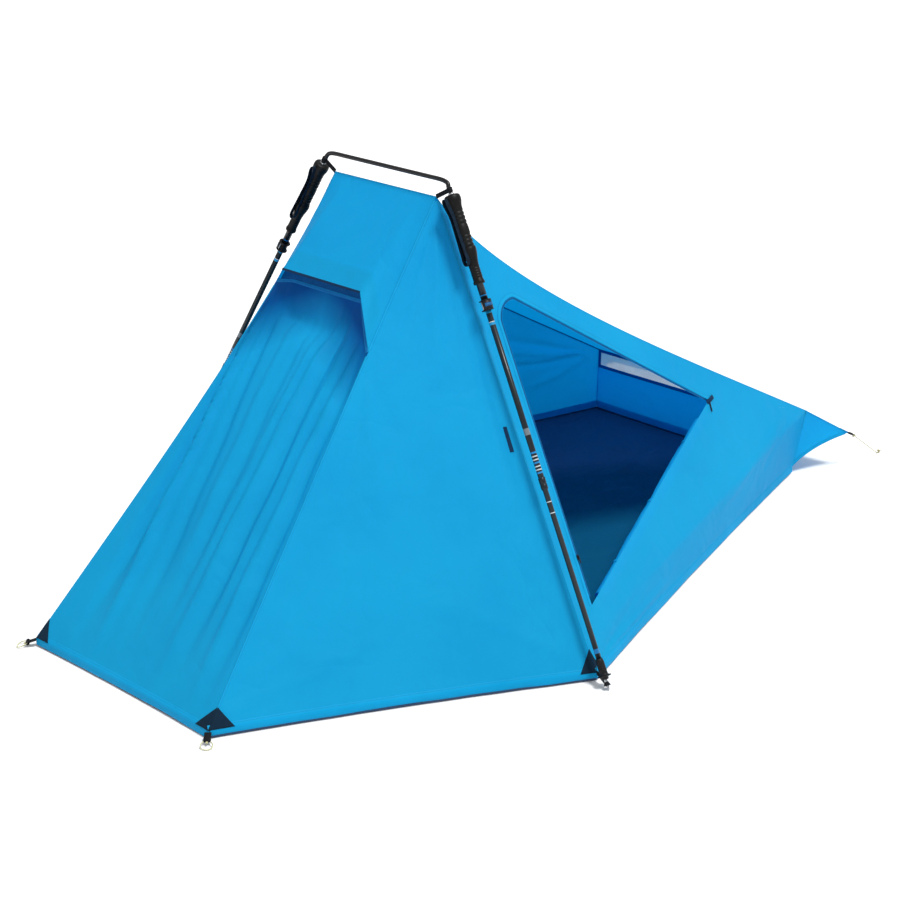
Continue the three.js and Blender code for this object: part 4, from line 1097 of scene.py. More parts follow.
# Left wall and roof
left_wall = Panel(roof_seam(LEFT), side_hem(LEFT), line(peak(LEFT), pole_corner(LEFT)),
                  line(wall_top(LEFT), foot_corner(LEFT)), shares(96), shares(54))
pitched("left_wall_cloth", left_wall, ["side_panel_left"],
        fan(left_wall, (0.98, 0.1), ((0.6, 0.5), (0.5, 0.3), (0.7, 0.75), (0.4, 0.6), (0.3, 0.45)), 0.010,
            0.016, 31)
        + fan(left_wall, (0.02, 0.98), ((0.4, 0.7), (0.5, 0.9), (0.4, 0.5)), 0.008, 0.016, 32)
        + fan(left_wall, (0.02, 0.03), ((0.3, 0.5), (0.5, 0.35), (0.2, 0.7)), 0.008, 0.016, 33),
        0.008, 3.6, 17.0, 0.05, 0.012)

roof = Panel(line(peak(LEFT), peak(RIGHT)), line(wall_top(LEFT), wall_top(RIGHT)), roof_seam(LEFT),
             roof_seam(RIGHT), shares(44), shares(100))
pitched("roof_cloth", roof, ["roof_panel"],
        fan(roof, (0.98, 0.99), ((0.7, 0.7), (0.5, 0.85)), 0.003, 0.02, 41)
        + fan(roof, (0.02, 0.99), ((0.3, 0.7), (0.5, 0.85)), 0.003, 0.02, 42),
        0.003, 2.6, 23.0, 0.05, 0.006)

# Right wall: one cloth in three panels round the door
door_low, door_high, door_rear = (wall_point(RIGHT, p) for p in (DOOR_LOW, DOOR_HIGH, DOOR_REAR))
front_shoulder, top_shoulder = wall_point(RIGHT, DOOR_FRONT_SHOULDER), wall_point(RIGHT, DOOR_TOP_SHOULDER)
turn_from = front_shoulder + (door_low - front_shoulder) * 0.035
turn_to = top_shoulder + (door_rear - top_shoulder) * 0.035


def rounded_corner(t):
    t = t[:, None]
    return (1 - t) ** 2 * turn_from + 2 * (1 - t) * t * door_high + t * t * turn_to


corner_turn = rounded_corner(shares(12))
door_top_mid = corner_turn[6]
down_run = np.vstack((corner_turn[6::-1], turn_from + (door_low - turn_from) * shares(60)[1:, None]))
top_run = np.vstack((corner_turn[6:], turn_to + (door_rear - turn_to) * shares(80)[1:, None]))
door_front = Panel(line(peak(RIGHT), door_top_mid), line(pole_corner(RIGHT), door_low),
                   line(peak(RIGHT), pole_corner(RIGHT)), polyline(down_run), shares(8), shares(90))
door_top = Panel(roof_seam(RIGHT), polyline(top_run), line(peak(RIGHT), door_top_mid),
                 line(wall_top(RIGHT), door_rear), shares(110), shares(14))
door_below = Panel(line(door_low, door_rear), side_hem(RIGHT), line(door_low, pole_corner(RIGHT)),
                   broken([door_rear, wall_top(RIGHT), foot_corner(RIGHT)], [2, 2]), shares(90), shares(40))
right_panels = [door_front, door_top, door_below]
right_rims = [roof_seam(RIGHT)(shares(60)), side_hem(RIGHT)(shares(60)),
              np.array([peak(RIGHT), pole_corner(RIGHT)]),
              np.array([wall_top(RIGHT), foot_corner(RIGHT)]), down_run, top_run,
              np.array([door_low, door_rear])]
settle(right_panels, right_rims,
       fan(door_below, (0.98, 0.4), ((0.6, 0.5), (0.5, 0.7), (0.75, 0.8), (0.8, 0.5)), 0.0060, 0.015, 51)
       + fan(door_below, (0.02, 0.9), ((0.3, 0.4), (0.4, 0.8)), 0.005, 0.014, 52), 0.004, 3.2, 29.0, 0.04)
cloth_piece("right_wall_cloth", right_panels, ["door_front_strip", "door_top_strip", "side_panel_right"])


# Foot wall, its netting, the hood over it and the two gussets
def on_foot_seam(s, height):
    share = (height - HEM_HEIGHT) / (FOOT_WALL_HEIGHT - HEM_HEIGHT)
    return foot_corner(s) + (wall_top(s) - foot_corner(s)) * share


def foot_band(low, high, bottom):
    ends = [line(on_foot_seam(s, high), on_foot_seam(s, low)) for s in (RIGHT, LEFT)]
    return Panel(line(on_foot_seam(RIGHT, high), on_foot_seam(LEFT, high)), bottom, *ends, shares(54),
                 shares(12))


foot_cloth = foot_band(HEM_HEIGHT, WINDOW_SILL, foot_hem())
foot_net = foot_band(WINDOW_SILL, FOOT_WALL_HEIGHT,
                     line(on_foot_seam(RIGHT, WINDOW_SILL), on_foot_seam(LEFT, WINDOW_SILL)))
pitched("foot_wall_cloth", foot_cloth, ["foot_wall"],
        [crease(foot_cloth, (0.1, 0.1), (0.35, 0.9), 0.003, 0.014),
         crease(foot_cloth, (0.8, 0.1), (0.6, 0.9), -0.003, 0.016)], 0.003, 5.0, 37.0, 0.03,
         slot="inner_fabric")
pitched("foot_window_net", foot_net, ["foot_mesh"],
        [crease(foot_net, (0.08 + 0.11 * k, 0.06), (0.02 + 0.11 * k, 0.94), 0.004 if k % 2 else -0.003, 0.006)
         for k in range(1, 8)], 0.003, 9.0, 43.0, 0.012, material=window_net, slot="netting")

hood_bow = vec(-0.038, 0, 0.038 * TAIL_DROP / TAIL_REACH)
foot_hood = Panel(line(wall_top(LEFT), wall_top(RIGHT)), bowed(tail(LEFT), tail(RIGHT), hood_bow),
                  line(wall_top(LEFT), tail(LEFT)), line(wall_top(RIGHT), tail(RIGHT)), shares(56),
                  shares(12),
                  FOOT_HEART)
pitched("foot_hood_cloth", foot_hood, ["foot_hood"],
        fan(foot_hood, (0.98, 0.97), ((0.6, 0.3), (0.7, 0.7)), 0.003, 0.012, 61)
        + fan(foot_hood, (0.02, 0.97), ((0.4, 0.3), (0.3, 0.7)), 0.003, 0.012, 62), 0.002, 5.0, 47.0, 0.03)
gusset = {}
for side_name, s in SIDES:
    tail_end = tail(s) + (foot_corner(s) - tail(s)) * 0.05
    lift = (wall_top(s) - tail(s)) / 2
    gusset[s] = Panel(line(wall_top(s), tail(s)), bowed(foot_corner(s), tail_end, lift * 0.18),
                      line(wall_top(s), foot_corner(s)), line(tail(s), tail_end), shares(14), shares(14),
                      FOOT_HEART)
    pitched(f"foot_gusset_cloth_{side_name}", gusset[s], [f"foot_gusset_{side_name}"], (), 0.002, 6.0, 53.0,
            0.03)

# ---- Seams and hems ----------------------------------------------------------------------
def part(edge, start, stop=1):
    lengths = along_lengths(edge[0]) / along_lengths(edge[0])[-1]
    keep = (lengths >= start) & (lengths <= stop)
    return tuple(a[keep] for a in edge)


for side_name, s in SIDES:
    front_edge = front[s].edge("left")
    head_side = "left" if s == LEFT else "right"
    head_edge, hood_edge, tail_edge = (panel.edge(head_side) for panel in (head, hood, foot_hood))
    seam_length = np.linalg.norm(peak(s) - head_corner(s))
    share = (HOOD_SIDE[s] * seam_length - PEAK_TRIM) / (seam_length - PEAK_TRIM)
    patched = 1 - PATCH_RISE / seam_length
    seam_ribbon(f"hood_seam_{side_name}", part(front_edge, 0, share), part(hood_edge, 0.03))
    seam_ribbon(f"front_seam_{side_name}", part(front_edge, share), head_edge)
    seam_ribbon(f"patch_seam_{side_name}", part(front_edge, patched), part(head_edge, patched - 0.02),
                0.011, 0.0010, patch_cloth, "floor_fabric")
    hem_ribbon(f"front_hem_{side_name}", front[s].edge("bottom"), low=0.009, seed=s)
    seam_ribbon(f"tail_seam_{side_name}", gusset[s].edge("top"), tail_edge)
    hem_ribbon(f"gusset_hem_{side_name}", gusset[s].edge("bottom"), 0.010)

left_pole_edges = front[LEFT].edge("right"), part(left_wall.edge("left"), 0.01)
left_roof_edges = roof.edge("left"), left_wall.edge("top")
right_roof_edges = roof.edge("right"), door_top.edge("top")
seam_ribbon("peak_seam", hood.edge("top"), roof.edge("top"))
seam_ribbon("pole_seam_right", front[RIGHT].edge("right"), part(door_front.edge("left"), 0.01))
seam_ribbon("pole_seam_left", *left_pole_edges)
seam_ribbon("roof_seam_right", *right_roof_edges)
seam_ribbon("roof_seam_left", *left_roof_edges)
for name, edges in (("roof_seam_tape_left", left_roof_edges), ("roof_seam_tape_right", right_roof_edges),
                    ("pole_seam_tape_left", left_pole_edges)):
    seam_ribbon(name, *edges, 0.007, 0.0005, inside_seam, inside=True)
seam_ribbon("foot_seam_left", left_wall.edge("right"), gusset[LEFT].edge("left"))
rear_edge = door_below.edge("right")
below = np.argmin(np.linalg.norm(rear_edge[0] - wall_top(RIGHT), axis=1))
seam_ribbon("foot_seam_right", tuple(a[below:] for a in rear_edge), gusset[RIGHT].edge("left"))
ridge_edges = roof.edge("bottom"), foot_hood.edge("top")
seam_ribbon("foot_ridge_seam", *(tuple(a[::-1] for a in edge) for edge in ridge_edges))
for name, panel, seed in (("head_hem", head, 8), ("side_hem_right", door_below, 14),
                          ("side_hem_left", left_wall, 13),
                          ("foot_wall_hem", foot_cloth, 13)):
    hem_ribbon(name, panel.edge("bottom"), low=0.004, seed=seed)
hem_ribbon("foot_hood_hem", foot_hood.edge("bottom"))
for name, side in (("top", "top"), ("sill", "bottom"), ("end_right", "left"), ("end_left", "right")):
    hem_ribbon(f"window_{name}_binding", foot_net.edge(side), 0.010, 0.0010, inside_seam, "webbing")
hem_ribbon("vent_sill_binding", head.edge("top"), 0.010, 0.0009, inside_seam, "webbing")

# ---- Floor and tub wall ------------------------------------------------------------------
def noisy(points, seed_shift):
    return noise_at(points, 3.0, seed_shift)


spread = np.linspace(-HEAD_REACH + 0.0065, FOOT_REACH - 0.0065, FLOOR_COLUMNS + 1)
left_outline = np.vstack((front_hem(LEFT)(shares(60)), side_hem(LEFT)(shares(80))[1:]))
floor_half = np.interp(spread, left_outline[:, 0], left_outline[:, 1]) - 0.002
floor_across = np.linspace(-1, 1, FLOOR_ROWS + 1)[:, None]
floor_grid = np.stack(np.broadcast_arrays(spread[None, :], floor_across * floor_half[None, :], 0.0),
                      -1).copy()
floor_points = floor_grid.reshape(-1, 3)
floor_lift = noise_at(floor_points, 3.0, (9, 0, 0)) * 0.005 + 0.004
dice = random.Random(71)
for _ in range(FLOOR_CREASES):
    start = vec(dice.uniform(-0.7, 1.35), dice.uniform(-0.5, 0.5), 0)
    turn = dice.uniform(-0.5, 0.5) + (math.pi / 2 if dice.random() < 0.25 else 0)
    run = vec(math.cos(turn), math.sin(turn), 0) * dice.uniform(0.15, 0.7)
    t = np.clip(((floor_points - start) @ run) / (run @ run), 0, 1)
    off = np.linalg.norm(floor_points - (start + t[:, None] * run), axis=1)
    lift = dice.uniform(0.0015, 0.0045)
    ridge = np.exp(-(off / dice.uniform(0.006, 0.014)) ** 2)
    floor_lift += lift * ridge * np.sin(np.pi * np.clip(t, 0.02, 0.98)) ** 0.5
to_sides = (1 - np.abs(floor_across)) * floor_half[None, :]
to_ends = np.minimum(spread - spread[0], spread[-1] - spread)[None, :]
rim = np.minimum(to_sides, to_ends).ravel()
edge_rise = np.clip(1 - rim / 0.05, 0, 1) ** 2 * 0.006
floor_level = FLOOR_TOP + np.clip(floor_lift, 0, 0.02) * np.clip(rim / 0.06, 0, 1) + edge_rise
floor_grid[..., 2] = floor_level.reshape(floor_grid.shape[:2])
floor = mesh_piece("groundsheet_cloth", floor_grid.reshape(-1, 3),
                   grid_faces(FLOOR_ROWS + 1, FLOOR_COLUMNS + 1),
                   floor_grid.reshape(-1, 3)[:, :2], floor_cloth)
finished(floor, "tent", "floor_fabric", "groundsheet")

ring = np.vstack([head_hem()(shares(40))[:-1], front_hem(RIGHT)(shares(56))[:-1],
                  side_hem(RIGHT)(shares(86))[:-1],
                  foot_hem()(shares(44))[:-1], side_hem(LEFT)(shares(86))[::-1][:-1],
                  front_hem(LEFT)(shares(56))[::-1][:-1]])
ring_out = unit(np.cross(np.roll(ring, -1, 0) - np.roll(ring, 1, 0), vec(0, 0, 1)))
ring_out[:, 2] = 0
tub_rows = []
for t in shares(6):
    wobble = np.array([noise.noise(Vector((p[0] * 9, p[1] * 9, t * 2))) for p in ring]) * 0.0018
    bulge = 0.0020 * math.sin(math.pi * t) - 0.0040 + wobble * math.sin(math.pi * t)
    row = ring + ring_out * bulge[:, None]
    row[:, 2] = TUB_LOW + (TUB_TOP - TUB_LOW) * t
    tub_rows.append(row)
tub_lengths = along_lengths(np.vstack((ring, ring[:1])))
tub = mesh_piece("tub_wall_cloth", np.array(tub_rows).reshape(-1, 3), grid_faces(7, len(ring), True),
                 grid_uvs(tub_lengths[:-1], np.linspace(0, HEM_HEIGHT, 7)), tub_cloth)
finished(tub, "tent", "floor_fabric", *(f"tub_wall_{place}" for place in (
    "head", "foot", "front_right", "front_left", "side_right", "side_left")))


# ---- Corner patches ----------------------------------------------------------------------
def corner_patch(name, panel, corner, along_hem, up_seam, steps=10, lift=0.0011):
    """A triangle of heavy cloth sewn over a panel's corner; sizes are lengths along its hem and seam."""
    u0, v0 = corner
    edge_u = along_lengths(panel.grid[0 if v0 == 0 else -1])[-1]
    edge_v = along_lengths(panel.grid[:, 0 if u0 == 0 else -1])[-1]
    du = (along_hem / edge_u) * (1 if u0 == 0 else -1)
    dv = (up_seam / edge_v) * (1 if v0 == 0 else -1)
    points, uvs = [], []
    for a in shares(steps):
        for c in shares(steps):
            b = c * (1 - a)
            points.append(panel.at(u0 + du * b, v0 + dv * a, lift))
            uvs.append((b * along_hem, a * up_seam))
    piece = mesh_piece(name, points, grid_faces(steps + 1, steps + 1), uvs, patch_cloth)
    solid = piece.modifiers.new("thickness", "SOLIDIFY")
    solid.thickness = 0.0006
    solid.offset = 0
    return finished(piece, "tent", "floor_fabric")


for side_name, s in SIDES:
    corner_patch(f"patch_head_{side_name}_a", head, (1 if s == RIGHT else 0, 1), 0.050, PATCH_RISE)
    corner_patch(f"patch_head_{side_name}_b", front[s], (0, 1), 0.070, PATCH_RISE)
    corner_patch(f"patch_pole_{side_name}", front[s], (1, 1), 0.044, POLE_PATCH_RISE)
corner_patch("patch_pole_rear_right", door_front, (0, 1), 0.030, POLE_PATCH_RISE)
corner_patch("patch_pole_rear_left", left_wall, (0, 1), 0.044, POLE_PATCH_RISE)


# ---- Door: zip, slider and the rolled cloth ----------------------------------------------
door_line = np.vstack((down_run[::-1], top_run[1:]))
middle_of_door = (front_shoulder + door_rear) / 2
wall_down = unit(pole_corner(RIGHT) - peak(RIGHT))
wall_chord = wall_top(RIGHT) - peak(RIGHT)
wall_across = unit(wall_chord - wall_down * (wall_chord @ wall_down))
wall_out = np.cross(wall_down, wall_across)
door_line = resample(door_line, 150)
door_tangent = unit(np.gradient(door_line, axis=0))
door_in = np.cross(wall_out, door_tangent)
door_in *= np.sign(((middle_of_door - door_line) * door_in).sum(1))[:, None]
door_normal = np.broadcast_to(wall_out, door_line.shape)
trim = slice(2, -2)
hem_ribbon("door_edge_hem", (door_line, -door_in, door_normal), 0.011, 0.0008)

TAPE_SECTION = np.array(((-0.004, -0.0014), (0.0, -0.0012), (0.0022, -0.0009), (0.0040, -0.0004),
                         (0.0058, -0.0009), (0.0080, -0.0006)))
tape_points = np.stack([(door_line + door_in * a + door_normal * h)[trim] for a, h in TAPE_SECTION], 1)
tape = mesh_piece("zip_tape_strip", tape_points.reshape(-1, 3),
                  grid_faces(len(tape_points), len(TAPE_SECTION)),
                  grid_uvs(TAPE_SECTION[:, 0], along_lengths(door_line)[trim]), zip_tape)
finished(tape, "tent", "webbing", "zip_track")

teeth_line = resample(door_line[trim] + door_in[trim] * 0.0048 + door_normal[trim] * 0.0002, 560)
teeth_tangent = unit(np.gradient(teeth_line, axis=0))
teeth_points, teeth_faces = [], []
for centre, along in zip(teeth_line, teeth_tangent):
    across = np.cross(wall_out, along)
    first = len(teeth_points)
    for a, b, c in BOX_SIGNS:
        narrow = (0.6, 0.7) if c > 0 else (1, 1)
        teeth_points.append(centre + along * a * narrow[0] * 0.0011 + across * b * narrow[1] * 0.0016
                            + wall_out * c * 0.0009)
    teeth_faces += [[first + i for i in f] for f in BOX_FACES]
teeth = mesh_piece("zip_coil", teeth_points, teeth_faces, [(p[0], p[2]) for p in teeth_points], zip_teeth,
                   smooth=False)
finished(teeth, "tent", "webbing")

slide_run = front_shoulder - door_low
slide_along = unit(slide_run)
slide_in = np.cross(slide_along, wall_out)
slider_centre = door_low + slide_run * 0.16 + slide_in * ZIP_WIDTH / 2 + wall_out * (0.0025 + GAP)
slider_axes = (slide_along, np.cross(wall_out, slide_along), wall_out)
for name, out, along, size, round_off, nodes in (
        ("body", 0, 0, (0.0135, 0.0088, 0.0020), 0.0007, ["zip_slider"]),
        ("bridge", 0.0018, 0.001, (0.009, 0.0030, 0.0028), 0.0008, []),
        ("pull", 0.0030, -0.0085, (0.016, 0.0046, 0.0012), 0.0005, [])):
    piece = oriented_box(slider_centre + wall_out * out + slide_along * along, slider_axes, size, round_off,
                         f"zip_slider_{name}", black_moulded)
    finished(piece, "slider", "black_plastic", *nodes)

# The door's cloth, rolled and tied along its rear edge
door_foot, *door_sides = door_below.edge("top")
rear_edge, rear_in, rear_normal = resample(door_foot, 40, *door_sides)
roll_centre = (rear_edge + rear_in * (ROLL_RADIUS + 0.006) - rear_normal * (ROLL_RADIUS + 0.0036))[3:38]
roll_path = resample(roll_centre, 48)
_, roll_side, roll_up = frames_along(roll_path, -rear_normal[20])
spiral = np.linspace(0, 2 * math.pi * 2.6, 70)
roll_points, roll_uv = [], []
tie_places = (0.18, 0.52, 0.86)
roll_lengths = along_lengths(roll_path)
for k, centre in enumerate(roll_path):
    t = k / (len(roll_path) - 1)
    tied = sum(math.exp(-((t - place) / 0.035) ** 2) for place in tie_places)
    pinch = 1 - 0.16 * tied - 0.10 * abs(2 * t - 1) ** 6
    for j, a in enumerate(spiral):
        r = (0.0050 + 0.0105 * j / (len(spiral) - 1)) * pinch
        r += noise.noise(Vector((math.cos(a) * 2, math.sin(a) * 2,
                                 roll_lengths[k] * 6 + a * 0.2))) * 0.0016 * (j / len(spiral))
        roll_points.append(centre + roll_side[k] * r * math.cos(a) + roll_up[k] * r * math.sin(a))
        roll_uv.append((a * 0.008, roll_lengths[k]))
roll = mesh_piece("door_roll_cloth", roll_points, grid_faces(len(roll_path), len(spiral)), roll_uv,
                  canopy_cloth)
finished(roll, "tent", "inner_fabric", "door_roll")
for k, place in enumerate(tie_places):
    i = int(place * (len(roll_path) - 1))
    path = [roll_path[i] + roll_side[i] * a + roll_up[i] * b for a, b in circle(0.0146, 40)]
    along = unit(roll_path[i + 1] - roll_path[i])
    tie = sweep(f"roll_tie_{k}", path, tape_section(0.010, 0.0010), along, hem_cloth, loop=True)
    finished(tie, "tent", "webbing")


def near_rear_corner(across, down, out):
    return door_rear + wall_across * across + wall_down * down + wall_out * out


tab_path = spline([near_rear_corner(-0.016, 0.006, 0.0006), near_rear_corner(0.002, 0.001, 0.0030),
                   near_rear_corner(0.016, -0.004, 0.0034), near_rear_corner(0.028, -0.007, 0.0012)], 14)
tab = sweep("roll_tab", tab_path, tape_section(0.013, 0.0011), wall_down, binding)
finished(tab, "tent", "webbing")
toggle = sweep("roll_toggle", resample(np.array([near_rear_corner(-0.004, 0.006, 0.0030),
                                                 near_rear_corner(-0.008, 0.036, 0.0030)]), 10),
               circle(0.0021, 12), wall_out, black_moulded)
finished(toggle, "tent", "black_plastic")

# A small folded label sewn by the pole seam, with no lettering
label_rows = []
for k in range(9):
    label_rows.append([front[RIGHT].at(0.944 + 0.018 * c / 4, 0.480 + 0.053 * k / 8,
                                       0.0012 + 0.0006 * math.sin(math.pi * c / 4)) for c in range(5)])
label = mesh_piece("side_label", np.array(label_rows).reshape(-1, 3), grid_faces(9, 5),
                   [(c * 0.003, k * 0.006) for k in range(9) for c in range(5)], binding)
finished(label, "tent", "webbing")

# ---- Poles -------------------------------------------------------------------------------
POLE_LENGTH = float(np.linalg.norm(grip_top(RIGHT) - pole_tip(RIGHT)))
LOCK_LOW = POLE_LENGTH - LOCK_FROM_TOP
LOCK_HIGH = LOCK_LOW + LOCK_LENGTH
GRIP_LOW = POLE_LENGTH - GRIP_LENGTH
PRINT_CYAN = rgb(0.01, 0.25, 0.50)
PRINT_WHITE, PRINT_BLUE, PRINT_GREY = rgb(0.55, 0.6, 0.62), rgb(0.01, 0.22, 0.55), rgb(0.16, 0.19, 0.21)

scale_marks = []
for k in range(7):
    at = 0.586 + 0.009 * k
    scale_marks.append((at, at + (0.0030 if k % 3 else 0.0045), PRINT_WHITE if k % 3 else PRINT_BLUE))
scale_marks += [(0.690, 0.708, PRINT_GREY), (0.990, 0.997, PRINT_CYAN), (0.9975, 0.9995, PRINT_WHITE),
                (LOCK_LOW - 0.0075, LOCK_LOW - 0.0005, PRINT_CYAN)]
shaft_paint = banded("shaft_paint", rgb(0.006, 0.012, 0.016), 0.34, 0.2, scale_marks)
low_shaft_paint = banded("low_shaft_paint", rgb(0.006, 0.012, 0.016), 0.32, 0.2,
                         [(0.100, 0.112, PRINT_BLUE), (0.478, 0.4805, PRINT_WHITE),
                          (0.508, 0.5105, PRINT_WHITE)])
tube_paint = banded("tube_paint", rgb(0.006, 0.009, 0.012), 0.32, 0.2,
                    [(LOCK_HIGH + 0.010, LOCK_HIGH + 0.013, PRINT_BLUE)])


def pole_matrix(s):
    axis = Vector(unit(grip_top(s) - pole_tip(s)))
    turn = Vector((0, 0, 1)).rotation_difference(axis)
    return Matrix.Translation(Vector(pole_tip(s))) @ turn.to_matrix().to_4x4()


def to_row(matrix, point):
    return np.array(matrix @ Vector(point))


def raised(base, pairs):
    return [(r, base + z) for r, z in pairs]


def tube_profile(bore, outer):
    low, high = outer[0][1], outer[-1][1]
    return [(bore, low), *outer, (bore, high), (bore, low)]


def grip_profile():
    top = POLE_LENGTH
    run = [(0.0147, GRIP_LOW), (0.0152, GRIP_LOW + 0.001), (0.0152, GRIP_LOW + 0.006),
           (0.0147, GRIP_LOW + 0.0075), (0.0135, GRIP_LOW + 0.009)]
    for k in range(5):
        z = GRIP_LOW + 0.014 + 0.007 * k
        run += [(0.0135, z), (0.0129, z + 0.0008), (0.0129, z + 0.0018), (0.0135, z + 0.0026)]
    run += [(0.0136, top - 0.192), (0.0150, top - 0.180), (0.0176, top - 0.168), (0.0190, top - 0.160),
            (0.0199, top - 0.152),
            (0.0196, top - 0.147), (0.0184, top - 0.143)]
    for first in (0.112, 0.048):
        for k in (2, 1, 0):
            z = top - first - k * 0.011
            run += [(0.0158, z - 0.0092), (0.0171, z - 0.0080), (0.0176, z - 0.0058), (0.0176, z - 0.0032),
                    (0.0170, z - 0.0012), (0.0157, z)]
        if first == 0.112:
            run += [(0.0170, top - 0.1095), (0.0176, top - 0.106), (0.0177, top - 0.092),
                    (0.0174, top - 0.085), (0.0166, top - 0.0825)]
    run += [(0.0168, top - 0.0455), (0.0176, top - 0.043), (0.0178, top - 0.034), (0.0186, top - 0.029),
            (0.0206, top - 0.0225), (0.0217, top - 0.018),
            (0.0220, top - 0.014), (0.0219, top - 0.009), (0.0212, top - 0.005), (0.0198, top - 0.002),
            (0.0172, top - 0.0004), (0.0130, top), (0, top)]
    return [(0, GRIP_LOW), *run]


def webbing_eye(name, matrix, eye_radius, thickness, width, reach, rise, low, bearing):
    """A tape folded round an eye and sewn to itself as a tail of two plies."""
    ply = thickness / 2
    r = eye_radius + ply / 2 + 0.0002
    start = math.asin(min(ply * 0.55 / r, 0.9))
    arc = np.linspace(start, 2 * math.pi - start, 40)
    out = np.array([(reach, ply * 0.55)] + [(r + (reach - r) * t, ply * 0.55) for t in (0.75, 0.5, 0.25,
                                                                                        0.1)])
    flat = np.vstack((out, [(r * math.cos(a), r * math.sin(a)) for a in arc], out[::-1] * (1, -1)))
    lift = np.clip((flat[:, 0] - r) / max(reach - r, 1e-6), 0, 1) * rise
    turn = np.array([[math.cos(bearing), -math.sin(bearing)], [math.sin(bearing), math.cos(bearing)]])
    flat = flat @ turn.T
    path = np.array([to_row(matrix, (x, y, low + width / 2 + z)) for (x, y), z in zip(flat, lift)])
    up = np.array((matrix.to_3x3() @ Vector((0, 0, 1))))
    return sweep(name, resample(path, 70), tape_section(width, ply), up, black_web)


def about_pole(matrix, point):
    local = matrix.inverted() @ Vector(point)
    return local.z, math.hypot(local.x, local.y), math.atan2(local.y, local.x)


def basket_edge(r, a):
    """Scallops the basket's disc and leaves the rest round."""
    return r * (1 - 0.10 * (0.5 + 0.5 * math.cos(8 * a)) ** 3) if r > 0.013 else r


def strap_nearness(down):
    """How much nearer the grip the wrist strap lies, below where it leaves the grip's head."""
    share = min(max((down - 0.012) / 0.045, 0), 1)
    return 0.0085 * share * share * (3 - 2 * share) + 0.0008 * math.sin(down * 60)


